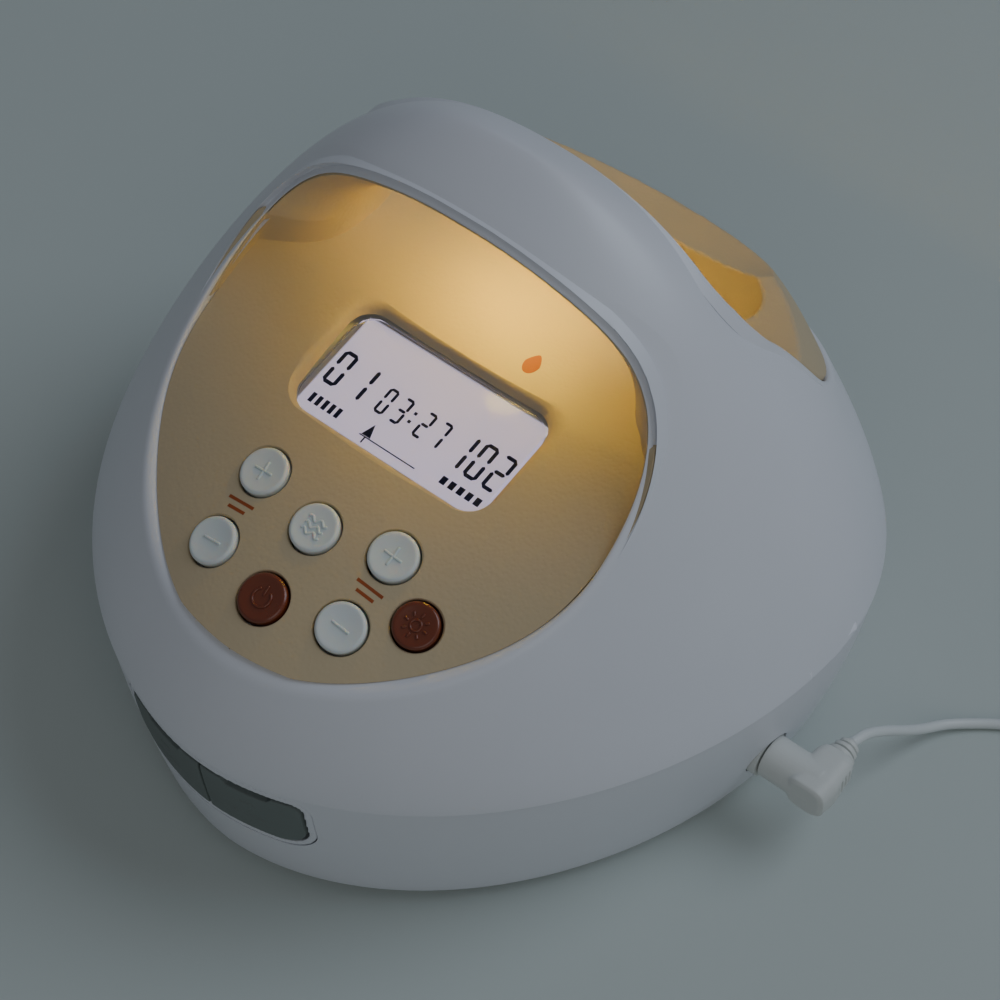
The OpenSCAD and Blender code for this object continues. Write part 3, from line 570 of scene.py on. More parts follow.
@dataclass
class Studio:
    """Pale floor, soft light and the camera."""

    spot_mm: tuple[float, float, float] = (260.5, -305.8, 559.2)
    swing: float = 39.1
    lift: float = 51.8
    lens: float = 98.5

    def camera(self) -> None:
        """Stands the camera above the front right of the housing."""
        data = bpy.data.cameras.new("camera")
        data.lens = self.lens
        data.sensor_width = 36
        data.clip_start = 0.05
        data.clip_end = 60
        eye = bpy.data.objects.new("camera", data)
        bpy.context.scene.collection.objects.link(eye)
        a, e = math.radians(self.swing), math.radians(self.lift)
        right = Vector((math.cos(a), math.sin(a), 0))
        up = Vector((-math.sin(a) * math.sin(e), math.cos(a) * math.sin(e), math.cos(e)))
        turn = Matrix((right, up, right.cross(up))).transposed().to_4x4()
        eye.matrix_world = Matrix.Translation(Vector(self.spot_mm) * MM) @ turn
        bpy.context.scene.camera = eye

    def floor(self) -> None:
        """Lays the pale floor."""
        half = 6000.0
        sheet = make_piece("floor", [[-half, -half, 0], [half, -half, 0], [half, half, 0], [-half, half, 0]],
                           [[0, 1, 2, 3]])
        sheet.data.materials.append(Finishes.sweep.build())

    def lamp(self, name: str, spot_mm: Sequence[float], size: float, watts: float, colour: str) -> None:
        """Hangs one soft box that looks at the housing."""
        data = bpy.data.lights.new(name, "AREA")
        data.shape = "DISK"
        data.size = size
        data.energy = watts
        data.color = linear(colour)[:3]
        lamp = bpy.data.objects.new(name, data)
        bpy.context.scene.collection.objects.link(lamp)
        lamp.location = Vector(spot_mm) * MM
        aim = Vector((0, 0, 60 * MM)) - lamp.location
        lamp.rotation_euler = aim.to_track_quat("-Z", "Y").to_euler()

    def build(self) -> None:
        """Sets up the camera, floor and light."""
        self.camera()
        self.floor()
        world = bpy.data.worlds.new("studio")
        world.use_nodes = True
        sky = world.node_tree.nodes["Background"]
        sky.inputs["Color"].default_value = linear("#D6DDE6")
        sky.inputs["Strength"].default_value = 0.2
        bpy.context.scene.world = world
        self.lamp("key_light", (900, 900, 1500), 1.4, 10.5, "#E4F0FF")
        self.lamp("fill_light", (900, -900, 1000), 1.2, 2.4, "#F4F4F0")


# ---------------------------------------------------------------- power lead

def catmull(points: Sequence[Sequence[float]], per: int) -> np.ndarray:
    """Smooth curve through given points, with per steps between each two."""
    p = np.array(points, float)
    out = []
    for i in range(len(p) - 1):
        a, b, c, d = p[max(0, i - 1)], p[i], p[i + 1], p[min(len(p) - 1, i + 2)]
        for t in np.linspace(0, 1, per, endpoint=False):
            out.append(0.5 * (2 * b + (c - a) * t + (2 * a - 5 * b + 4 * c - d) * t * t
                              + (3 * b - a - 3 * c + d) * t ** 3))
    return np.array([*out, p[-1]])


def tube(name: str, path: np.ndarray, radius: float, sides: int = 20) -> bpy.types.Object:
    """Sweeps a round bar with rounded ends along a path, in millimetres.

    Args:
        name: the object's name.
        path: n by 3 points.
        radius: the bar's radius.
        sides: faces round the bar.

    Returns:
        A closed mesh.
    """
    along = np.gradient(path, axis=0)
    along /= np.linalg.norm(along, axis=1)[:, None]
    side = np.cross([0, 0, 1.0], along[0])
    side = side / np.linalg.norm(side) if np.linalg.norm(side) > 1e-6 else np.array([1.0, 0, 0])
    turns = np.linspace(0, 2 * math.pi, sides, endpoint=False)
    rings, frames = [], []
    for point, ahead in zip(path, along):
        side = side - ahead * side.dot(ahead)
        side /= np.linalg.norm(side)
        frames.append(np.cos(turns)[:, None] * side + np.sin(turns)[:, None] * np.cross(ahead, side))
        rings.append(point + radius * frames[-1])
    for share in (0.5, 0.85):
        shrink = radius * math.sqrt(1 - share * share)
        rings.insert(0, path[0] - along[0] * radius * share * 0.4 + shrink * frames[0])
        rings.append(path[-1] + along[-1] * radius * share * 0.4 + shrink * frames[-1])
    return loft(name, rings)


@dataclass
class Repeat:
    """Geometry Nodes rule that sets copies of a small bar in a straight row."""

    name: str
    size: tuple[float, float, float]
    start: tuple[float, float, float]
    pitch: tuple[float, float, float]
    count: int
    finish: Finish
    round_bar: bool = False

    def tree(self) -> bpy.types.NodeTree:
        """Row of bars with named inputs for count, pitch, start and size."""
        tree = bpy.data.node_groups.new(self.name + "_rule", "GeometryNodeTree")
        face = tree.interface
        face.new_socket("Geometry", in_out="INPUT", socket_type="NodeSocketGeometry")
        face.new_socket("Count", in_out="INPUT", socket_type="NodeSocketInt")
        for label in ("Pitch", "Start", "Size"):
            face.new_socket(label, in_out="INPUT", socket_type="NodeSocketVector")
        face.new_socket("Geometry", in_out="OUTPUT", socket_type="NodeSocketGeometry")
        given = add_node(tree, "NodeGroupInput").outputs
        row = add_node(tree, "GeometryNodeMeshLine", {
            "Count": given["Count"], "Start Location": given["Start"], "Offset": given["Pitch"]})
        if self.round_bar:
            axes = add_node(tree, "ShaderNodeSeparateXYZ", {"Vector": given["Size"]}).outputs
            bar = add_node(tree, "GeometryNodeMeshCylinder", {"Vertices": 32, "Radius": axes["X"],
                                                              "Depth": axes["Z"]})
        else:
            bar = add_node(tree, "GeometryNodeMeshCube", {"Size": given["Size"]})
        many = add_node(tree, "GeometryNodeInstanceOnPoints", {"Points": row.outputs["Mesh"],
                                                               "Instance": bar.outputs["Mesh"]})
        real = add_node(tree, "GeometryNodeRealizeInstances", {"Geometry": many.outputs["Instances"]})
        paint = add_node(tree, "GeometryNodeSetMaterial", {"Geometry": real.outputs["Geometry"],
                                                           "Material": self.finish.build()})
        add_node(tree, "NodeGroupOutput", {"Geometry": paint.outputs["Geometry"]})
        return tree

    def build(self) -> bpy.types.Object:
        """Runs the rule once and keeps its mesh."""
        piece = make_piece(self.name, [[0, 0, 0], [1, 0, 0], [0, 1, 0]], [[0, 1, 2]])
        modifier = piece.modifiers.new("row", "NODES")
        tree = self.tree()
        modifier.node_group = tree
        values = {"Count": self.count, "Pitch": [v * MM for v in self.pitch],
                  "Start": [v * MM for v in self.start], "Size": [v * MM for v in self.size]}
        for item in tree.interface.items_tree:
            if item.in_out == "INPUT" and item.name in values:
                modifier[item.identifier] = values[item.name]
        piece.update_tag()
        return bake(piece)


@dataclass
class Lead:
    """Low-voltage lead: elbow plug, free run over the table, stored coil, tail and wall adapter."""

    jack: tuple[float, float] = (4.0, 21.0)
    plug_x: float = 89.9
    reach: float = 13.0
    arm: float = 9.0
    relief: float = 5.6
    length: float = 1500.0
    diameter: float = 2.6
    coil_centre: tuple[float, float] = (190.0, 84.0)
    coil_r: float = 15.6

    def run(self) -> np.ndarray:
        """Free run from the strain relief to the coil."""
        x, y, z = self.plug_x + self.reach, self.jack[0] + self.arm + self.relief + 0.2, self.jack[1]
        return catmull([[x, y, z], [103.8, 24, 19.4], [105.6, 30, 15.4], [107.6, 36, 10.4], [109.4, 42, 5.8],
                        [112.2, 48.4, 2.8], [116.6, 53.4, 1.6], [122.2, 57.8, 1.4], [130, 62.4, 1.4],
                        [141, 66, 1.4], [153, 67.6, 1.4], [164, 67.4, 1.4], [173, 67, 1.4], [182, 65.4, 1.4],
                        [188, 64.8, 1.4]], 8)

    def tail(self) -> np.ndarray:
        """Last run from the coil to the adapter."""
        return catmull([[184, 101.6, 10.6], [178, 101.5, 10.2], [172, 101, 6.4], [166, 100.5, 3.4],
                        [158, 100, 2.6], [151, 101.6, 4.6], [148.2, 106.6, 8.4], [148, 112.9, 11]], 8)

    def coil(self, turns: float) -> np.ndarray:
        """Wound coil: turns lie side by side in layers, each shifted over in its own window of the turn.

        Args:
            turns: how many turns there are, with the last one a part.

        Returns:
            Points of the centreline, at least 72 to a turn.
        """
        gap, wide = self.diameter, 4
        count = int(turns * 72)
        angle = np.arange(count + 1) / 72.0
        column, layer = np.zeros(count + 1), np.zeros(count + 1)
        for i, a in enumerate(angle):
            done = int(a)
            part = a - done
            level = done // wide
            place = done % wide
            side = place if level % 2 == 0 else wide - 1 - place
            shift = np.clip((part - 0.78 + 0.14 * level) / 0.12, 0, 1)
            shift = shift * shift * (3 - 2 * shift)
            last = place == wide - 1
            column[i] = side + (0 if last else shift * (1 if level % 2 == 0 else -1))
            layer[i] = level + (shift if last else 0)
        radius = self.coil_r + (column - (wide - 1) / 2) * gap
        turn = 2 * math.pi * angle - math.pi / 2
        return np.stack([self.coil_centre[0] + radius * np.cos(turn),
                         self.coil_centre[1] + radius * np.sin(turn),
                         self.diameter / 2 + 0.05 + layer * gap], 1)

    def path(self) -> np.ndarray:
        """Whole centreline, with as many turns as its real length needs."""
        def measured(turns: float) -> np.ndarray:
            return np.concatenate([self.run(), self.coil(turns)[3:-3], self.tail()])

        def size(line: np.ndarray) -> float:
            return float(np.linalg.norm(np.diff(line, axis=0), axis=1).sum())

        best = min((abs(size(measured(n + 0.5)) - self.length), n) for n in range(6, 16))[1]
        line = measured(best + 0.5)
        log.info("lead: %d and a half turns, %.1f mm", best, size(line))
        return line

    def plug(self) -> bpy.types.Object:
        """Overmoulded elbow plug with a flat-topped arm and finger grooves."""
        y, z = self.jack
        x = self.plug_x + self.reach
        across = Matrix.Rotation(math.pi / 2, 4, "Y")
        barrel = place(cylinder("dc_plug_body", 5.4, 0.1, self.reach + 1),
                       Matrix.Translation((self.plug_x, y, z)) @ across)
        arm = loft("arm", [self.arm_ring(x, y + s, z, w, h) for s, w, h in (
            (-5.3, 4.2, 4.2), (-4.6, 5.2, 5.0), (0, 5.7, 5.3), (self.arm - 2, 5.0, 4.6),
            (self.arm, 4.2, 3.9))])
        piece = combine(barrel, arm, "UNION")
        for side in (-1, 1):
            groove = Repeat("groove", (1.6, 0.7, 5.0), (x + side * 5.4, y + 1.2, z), (0, 1.7, 0), 4,
                            Finishes.plug).build()
            combine(piece, groove)
        tip = place(lathe("tip", [(0, -9.5), (2.3, -9.5), (2.65, -9.1), (2.65, 0.5), (0, 0.5)], 48),
                    Matrix.Translation((self.plug_x, y, z)) @ across)
        soften(piece, 0.28, 4)
        mount(join("dc_plug_look", [piece]), Finishes.plug, stands_for=["dc_plug"])
        return mount(join("dc_plug_tip", [tip]), Finishes.steel)

    def arm_ring(self, x: float, y: float, z: float, wide: float, high: float) -> np.ndarray:
        """One cross-section of the plug's arm, a rounded square."""
        turn = np.linspace(0, 2 * math.pi, 48, endpoint=False)
        c, s = np.cos(turn), np.sin(turn)
        return np.stack([x + wide * np.sign(c) * np.abs(c) ** 0.6, np.full(48, y),
                         z + high * np.sign(s) * np.abs(s) ** 0.6], 1)

    def build(self) -> None:
        """Lays the lead and its pieces."""
        y, z = self.jack
        x, start = self.plug_x + self.reach, y + self.arm + 0.1
        line = self.path()
        lead = tube("power_lead", line, self.diameter / 2)
        mount(shade(lead, 60), Finishes.lead, stands_for=["lead_tube", "lead_coil", "lead_tail"])
        self.plug()
        rings = [(0, 0), (3.6, 0), (3.7, 0.3), (3.7, 1.1), (2.3, 1.35), (2.3, 1.75), (3.1, 2.0), (3.15, 2.9),
                 (2.2, 3.15), (2.2, 3.55), (2.6, 3.8), (2.6, 4.6), (1.9, 5.0), (1.5, 5.7), (0, 5.7)]
        relief = place(lathe("plug_relief_look", rings, 48), Matrix.Translation((x, start, z))
                       @ Matrix.Rotation(-math.pi / 2, 4, "X"))
        mount(shade(relief, 50), Finishes.plug, stands_for=["plug_relief"])
        adapter = self.adapter()

    def adapter(self) -> bpy.types.Object:
        """Wall adapter with rounded edges and a row of vent slots."""
        body = box_solid("adapter_body", (128, 113.1, 0.1), (168, 165.1, 28))
        vents = Repeat("vents", (1.2, 22, 2.0), (133, 142, 28), (3.0, 0, 0), 11, Finishes.adapter).build()
        combine(body, vents)
        soften(body, 0.5, 5)
        return mount(join("wall_adapter_look", [body]), Finishes.adapter, stands_for=["wall_adapter"])


# ---------------------------------------------------------------- housing

@dataclass
class UpperShell:
    """White dome with the oval opening through the carrying arch."""

    wall: float = 2.2
    roll: float = 3.0
    side_points: int = 230
    low_points: int = 130
    rows: int = 84

    def outline(self) -> tuple[np.ndarray, np.ndarray, np.ndarray]:
        """X, Z and silhouette weight of the dome's outline seen from the front, counter-clockwise."""
        turn = np.linspace(0, 1, self.side_points)
        fall = 1 - (1 - np.abs(2 * turn - 1)) ** 1.4
        low = FORM.seam_z + 0.5
        z = FORM.crown_z - (FORM.crown_z - low) * fall ** 1.6
        x = np.sign(1 - 2 * turn) * FORM.half_w(z)
        flat = np.linspace(-1, 1, self.low_points + 2)[1:-1]
        flat_x = FORM.half_w(np.array(low)) * np.sign(flat) * (1 - (1 - np.abs(flat)) ** 1.25)
        near = np.clip((np.abs(flat) - 0.45) / 0.55, 0, 1)
        return (np.concatenate([x, flat_x]), np.concatenate([z, np.full(len(flat), low)]),
                np.concatenate([np.ones(len(x)), near * near * (3 - 2 * near)]))

    def skin(self, front: bool) -> tuple[np.ndarray, list]:
        """Rows of points from the outline to the inner end of the opening's rolled rim."""
        ox, oz, edge = self.outline()
        cx, cz = ox, oz - FORM.mouth_mid_z
        size = np.hypot(cx, cz)
        dx, dz = cx / size, cz / size
        hole = FORM.mouth_along(dx, dz, front)
        rows = []
        for v in np.linspace(0, 1, self.rows):
            along = size + (hole + self.roll - size) * v ** (1 + 0.9 * edge)
            x, z = dx * along, FORM.mouth_mid_z + dz * along
            y = FORM.skin_y(x, z, front)
            if v == 0:
                y = np.where(oz > FORM.seam_z + 0.51, FORM.crown_y, y)
            rows.append(np.stack([x, y, z], 1))
        way = 1.0 if front else -1.0
        inside = dx * hole, FORM.mouth_mid_z + dz * hole
        rim_y = FORM.skin_y(inside[0], inside[1], front)
        drop_in, depth = self.lip(dz)
        corner = np.stack([inside[0], rim_y, inside[1]], 1)
        inner = corner + np.stack([np.zeros_like(dx), way * drop_in, np.zeros_like(dx)], 1)
        start = rows[-1]
        for t in np.linspace(0, 1, 9)[1:]:
            rows.append((1 - t) ** 2 * start + 2 * t * (1 - t) * corner + t * t * inner)
        for t in (0.5, 1.0):
            rows.append(inner + np.stack([np.zeros_like(dx), way * depth * t, np.zeros_like(dx)], 1))
        return np.concatenate(rows), grid_faces(len(rows), len(ox), closed=True)

    @staticmethod
    def lip(climb: np.ndarray) -> tuple[np.ndarray, np.ndarray]:
        """How far in the rolled rim ends and how deep the wall behind it is, by the direction's climb."""
        share = np.clip((climb - 0.05) / 0.3, 0, 1)
        share = share * share * (3 - 2 * share)
        return 3.5 - 1.3 * share, 7.0 - 3.2 * share

    def build(self) -> bpy.types.Object:
        """Makes both skins, rolls the crest and gives the shell its wall."""
        front, faces = self.skin(True)
        back, _ = self.skin(False)
        start = len(front)
        shell = make_piece("upper_shell_look", np.concatenate([front, back]),
                           [*faces, *[tuple(start + i for i in reversed(f)) for f in faces]])
        work = bmesh.new()
        work.from_mesh(shell.data)
        bmesh.ops.remove_doubles(work, verts=work.verts, dist=2e-5)
        for step in range(16):
            crest = [v for v in work.verts if v.co.z > 0.122 + 0.0013 * step and not v.is_boundary]
            bmesh.ops.smooth_vert(work, verts=crest, factor=0.5, use_axis_x=True, use_axis_y=True,
                                  use_axis_z=True)
        bmesh.ops.recalc_face_normals(work, faces=work.faces)
        work.to_mesh(shell.data)
        work.free()
        thicken(shell, self.wall)
        return mount(shade(shell, 40), Finishes.shell, stands_for=["upper_shell"])


@dataclass
class HandleLiner:
    """Sand-coloured lining of the arch, with the night light and two screws."""

    wall: float = 2.2
    screw_x: float = 30.0

    def build(self) -> None:
        """Makes the lining with its lens hole and two screw seats, and the lens."""
        turn = np.linspace(0, math.pi, 220)
        x, z = FORM.mouth(turn, 0.35)
        climb = (z - FORM.mouth_mid_z) / np.hypot(x, z - FORM.mouth_mid_z)
        drop_in, _ = UpperShell.lip(climb)
        wide = 1 + FORM.widening(climb) / FORM.mouth_half_w
        front = FORM.skin_y(x, z, True) + drop_in + 0.7
        back = FORM.skin_y(x * wide, z, False) - drop_in - 0.7
        rows = []
        for share in np.linspace(0, 1, 60):
            y = front + (back - front) * share
            ends = np.where(y < FORM.crown_y, FORM.crown_y - front, back - FORM.crown_y)
            share_out = np.clip(np.abs(y - FORM.crown_y) / np.clip(ends, 5, 22), 0, 1)
            k = 1 - (0.26 - 0.10 * np.sin(turn)) * (1 - share_out ** 3)
            aft = np.clip((y - FORM.crown_y) / np.maximum(1, back - FORM.crown_y), 0, 1)
            k_wide = k * (1 + (wide - 1) * aft * aft)
            rows.append(np.stack([x * k_wide, y, FORM.mouth_mid_z + (z - FORM.mouth_mid_z) * k], 1))
        faces = grid_faces(len(rows), len(turn))
        points = np.concatenate(rows)
        liner = make_piece("handle_liner_look", points, faces)
        middle = liner.data.polygons[len(liner.data.polygons) // 2]
        if middle.normal.z > 0:
            liner.data.flip_normals()
        thicken(liner, self.wall)
        crown = float(FORM.mouth_mid_z + FORM.mouth_up * FORM.flare(np.array(math.pi / 2), np.array(0.0)))
        combine(liner, place(cylinder("hole", 6.4, -12, 12), Matrix.Translation((0, FORM.crown_y, crown))))
        for side in (-1, 1):
            seat = cylinder("seat", 3.1, 100, 128.2, 40)
            combine(liner, place(seat, Matrix.Translation((side * self.screw_x, FORM.crown_y, 0))))
        mount(shade(liner, 40), Finishes.sand, stands_for=["handle_liner"])
        lens = lathe("night_light_look", [(0, 0), (4.5, 0.05), (5.6, 0.4), (6, 1.0), (6, 2.4), (7.4, 2.4),
                                          (7.4, 3.3), (0, 3.3)], 64)
        place(lens, Matrix.Translation((0, FORM.crown_y, crown + 0.35)))
        mount(shade(lens, 40), Finishes.lens, stands_for=["night_light_lens"])


def panel_frame(x: float, y: float) -> Matrix:
    """Frame that stands on the control panel, with Z along its normal and Y up the panel."""
    h = 0.5
    gx = float(FORM.panel_z(x + h, y) - FORM.panel_z(x - h, y))
    gy = float(FORM.panel_z(x, y + h) - FORM.panel_z(x, y - h))
    up = Vector((-gx, -gy, 1)).normalized()
    right = Vector((0, 1, 0)).cross(up).normalized()
    turn = Matrix((right, up.cross(right), up)).transposed().to_4x4()
    return Matrix.Translation((x, y, float(FORM.panel_z(x, y)))) @ turn


LCD_FRAME = Matrix.Translation((0, -13.4, 93.7)) @ Matrix.Rotation(math.radians(11), 4, "X")


def rounded(w: float, h: float, r: float, z: float, per: int = 12) -> np.ndarray:
    """Ring of a rounded rectangle centred on the axis."""
    points = []
    for cx, cy, start in ((1, 1, 0), (-1, 1, 90), (-1, -1, 180), (1, -1, 270)):
        for a in np.radians(np.linspace(start, start + 90, per)):
            points.append([cx * (w / 2 - r) + r * math.cos(a), cy * (h / 2 - r) + r * math.sin(a), z])
    return np.array(points)


@dataclass(frozen=True)
class KeyPlace:
    """One key: its CAD body, place on the panel, diameter, finish and mark."""

    body: str
    x: float
    y: float
    diameter: float
    finish: Finish
    mark: str


KEYS = (
    KeyPlace("cycle_up_key", -18.7, -44.7, 11.5, Finishes.key_white, "plus"),
    KeyPlace("cycle_down_key", -18.6, -62.3, 11.5, Finishes.key_white, "minus"),
    KeyPlace("vacuum_up_key", 18.7, -44.7, 11.5, Finishes.key_white, "plus"),
    KeyPlace("vacuum_down_key", 18.6, -62.3, 11.5, Finishes.key_white, "minus"),
    KeyPlace("mode_key", 0.0, -49.2, 11.5, Finishes.key_white, "waves"),
    KeyPlace("power_key", 0.0, -66.8, 11.5, Finishes.key_amber, "power"),
    KeyPlace("light_key", 31.8, -52.8, 10.7, Finishes.key_amber, "sun"),
)


@dataclass
class ControlFascia:
    """Leathered control panel with key holes and the bevelled pocket of the display."""

    wall: float = 2.6
    front_y: float = -78.6
    back_y: float = 34.3
    gap: float = 0.3

    def half_width(self, y: float) -> float:
        """Half width of the panel at y, where it meets the oval."""
        low, high = 0.0, 60.0
        for _ in range(40):
            mid = (low + high) / 2
            drop_z = float(FORM.panel_z(np.array(mid), np.array(y))) - FORM.mouth_mid_z
            power = 2.5 if drop_z < 0 else 2.0
            tall = (FORM.mouth_down if drop_z < 0 else FORM.mouth_up) - self.gap
            inside = (mid / (FORM.mouth_half_w - self.gap)) ** power + (abs(drop_z) / tall) ** power < 1
            skin = FORM.skin_y(np.array(mid), np.array(drop_z + FORM.mouth_mid_z), True, 0.5)
            inside = inside and y > float(skin)
            low, high = (mid, high) if inside else (low, mid)
        return low

    def build(self) -> bpy.types.Object:
        """Makes the panel."""
        start = next(y for y in np.arange(self.front_y, 0, 0.02) if self.half_width(y) > 0.05)
        ys = start + (self.back_y - start) * (1 - np.cos(np.linspace(0.0, math.pi / 2, 170)))
        across = np.sin(np.linspace(-math.pi / 2, math.pi / 2, 170)) * 0.3 + np.linspace(-1, 1, 170) * 0.7
        rows = []
        for y in ys:
            x = self.half_width(y) * across
            rows.append(np.stack([x, np.full(170, y), FORM.panel_z(x, np.full(170, y))], 1))
        top = np.concatenate(rows)
        panel = make_piece("control_fascia_look", top, grid_faces(170, 170))
        if panel.data.polygons[100].normal.z < 0:
            panel.data.flip_normals()
        thicken(panel, self.wall)
        for key in KEYS:
            r = key.diameter / 2 + 0.5
            tool = lathe("hole", [(0, -8), (r, -8), (r, -0.5), (r + 0.12, -0.25), (r + 0.5, 0.02),
                                  (r + 2.5, 1.2), (0, 1.2)], 72)
            combine(panel, place(tool, panel_frame(key.x, key.y)))
        rings = [rounded(55.2 + 2 * g, 29 + 2 * g, 6 + g * 0.8, z) for g, z in (
            (0, -9), (0, 0), (0.9, 1.6), (1.3, 2.2), (1.7, 2.55), (2.4, 2.9), (3.6, 3.2), (6, 3.55))]
        combine(panel, place(loft("pocket", rings), LCD_FRAME))
        return mount(shade(panel, 30), Finishes.sand, stands_for=["control_fascia"])


@dataclass
class RearRecess:
    """Leathered rear part of the opening, scooped for the fingers."""

    def block(self, inset: float, top: float) -> bpy.types.Object:
        """Piece of the dome inside the oval, behind the panel and under a level."""
        piece = FORM.dome("block", inset, FORM.seam_z)
        combine(piece, FORM.mouth_bar("bar", 0.3), "INTERSECT")
        return combine(piece, box_solid("cell", (-70, 34.8, 20), (70, 130, top)), "INTERSECT")

    def ball(self, centre: Sequence[float], radii: Sequence[float]) -> bpy.types.Object:
        """Ellipsoid used as a cutting tool."""
        turn = np.linspace(0, math.pi, 49)
        piece = lathe("ball", [(math.sin(t), -math.cos(t)) for t in turn], 96)
        piece.data.transform(Matrix.Diagonal((*radii, 1)))
        return place(piece, Matrix.Translation(centre))

    def scoop(self, grow: float) -> bpy.types.Object:
        """Finger scoop, joined to the saddle that dips the rear edge."""
        cup = self.ball((0, FORM.crown_y + 33.6, FORM.recess_z + 4), (44 + grow, 17 + grow, 26 + grow))
        return combine(cup, self.ball((0, 85, 115), (60 + grow, 40 + grow, 28 + grow)), "UNION")

    def build(self) -> bpy.types.Object:
        """Makes the recess."""
        piece = combine(self.block(1, FORM.recess_z), self.block(3.6, FORM.recess_z - 2.6))
        cup = combine(self.block(1, FORM.recess_z), self.scoop(2.6), "INTERSECT")
        combine(piece, cup, "UNION")
        combine(piece, self.scoop(0))
        soften(piece, 0.6, 5)
        return mount(join("rear_recess_look", [piece]), Finishes.sand, stands_for=["rear_recess"])


@dataclass
class PortBay:
    """Bay under the seam with its bezel, the two rubber flaps and their marks."""

    half: float = 25.6
    low_z: float = 25.2
    top_z: float = 44.6

    def outline(self, grow: float) -> np.ndarray:
        """X and Z of the bay's outline, set out by grow."""
        points = []
        for side, r, z, start in ((1, 3, self.top_z - 3, 0), (-1, 3, self.top_z - 3, 90),
                                  (-1, 8, self.low_z + 8, 180), (1, 8, self.low_z + 8, 270)):
            for a in np.radians(np.linspace(start, start + 90, 14)):
                points.append([side * (self.half - r) + (r + grow) * math.cos(a),
                               z + (r + grow) * math.sin(a)])
        return np.array(points)

    def block(self, grow: float, back_y: float = -60.0) -> bpy.types.Object:
        """Bay outline carried straight along Y."""
        ring = self.outline(grow)
        return loft("bay", [np.stack([ring[:, 0], np.full(len(ring), y), ring[:, 1]], 1)
                            for y in (back_y, back_y - 60)])

    def bezel(self) -> None:
        """Frame and floor round the flaps."""
        piece = combine(self.block(1.9, -70), FORM.tub("outer", 0.0), "INTERSECT")
        pocket = combine(self.block(0.3, -70), FORM.tub("floor_of_pocket", 3.4))
        combine(piece, pocket)
        combine(piece, FORM.tub("hollow", 6.0))
        for side in (-1, 1):
            bore = place(cylinder("bore", 5.4, 60, 120), Matrix.Translation((side * 12.5, 0, 36.6))
                         @ Matrix.Rotation(math.pi / 2, 4, "X"))
            combine(piece, bore)
        soften(piece, 0.36, 2)
        mount(join("port_bezel_look", [piece]), Finishes.shell, stands_for=["port_bezel"])

    def plate(self, name: str, ring: Sequence[Sequence[float]], low: float, high: float) -> bpy.types.Object:
        """Outline in X and Z carried onto the housing's curve, from inset high to inset low."""
        flat = np.array(ring, float)
        piece = loft(name, [np.stack([flat[:, 0], np.full(len(flat), y), flat[:, 1]], 1)
                            for y in (-70, -130)])
        combine(piece, FORM.tub("outer", low), "INTERSECT")
        return combine(piece, FORM.tub("inner", high))

    def flap(self, side: int) -> None:
        """One rubber flap with a finger notch, a raised bar and an arrow that points outward."""
        label = "right" if side > 0 else "left"
        piece = combine(self.block(-0.35, -70), FORM.tub("outer", -0.2), "INTERSECT")
        combine(piece, FORM.tub("inner", 2.2))
        near, far = (0.35, 60) if side > 0 else (-60, -0.35)
        combine(piece, box_solid("half", (near, -140, 0), (far, -60, 60)), "INTERSECT")
        notch = [[12.4 * side + dx, self.top_z + dz] for dx, dz in (
            (-6.4, 3), (-6.4, -0.2), (-5.2, -2), (5.2, -2), (6.4, -0.2), (6.4, 3))]
        combine(piece, self.plate("notch", notch, -6, 8))
        x = 12.4 * side
        for mark in ([[x - 4, 31.6], [x + 4, 31.6], [x + 4, 32.5], [x - 4, 32.5]],
                     [[x - 1.7, 38.4], [x, 35.6], [x + 1.7, 38.4]]):
            combine(piece, self.plate("mark", mark, -0.55, 1.0), "UNION")
        soften(piece, 0.24, 2)
        mount(join(f"port_cap_{label}_look", [piece]), Finishes.flap, f"port_cap_{label}",
              [f"port_cap_{label}"])

    def build(self) -> None:
        """Makes the bezel and both flaps."""
        self.bezel()
        self.flap(-1)
        self.flap(1)


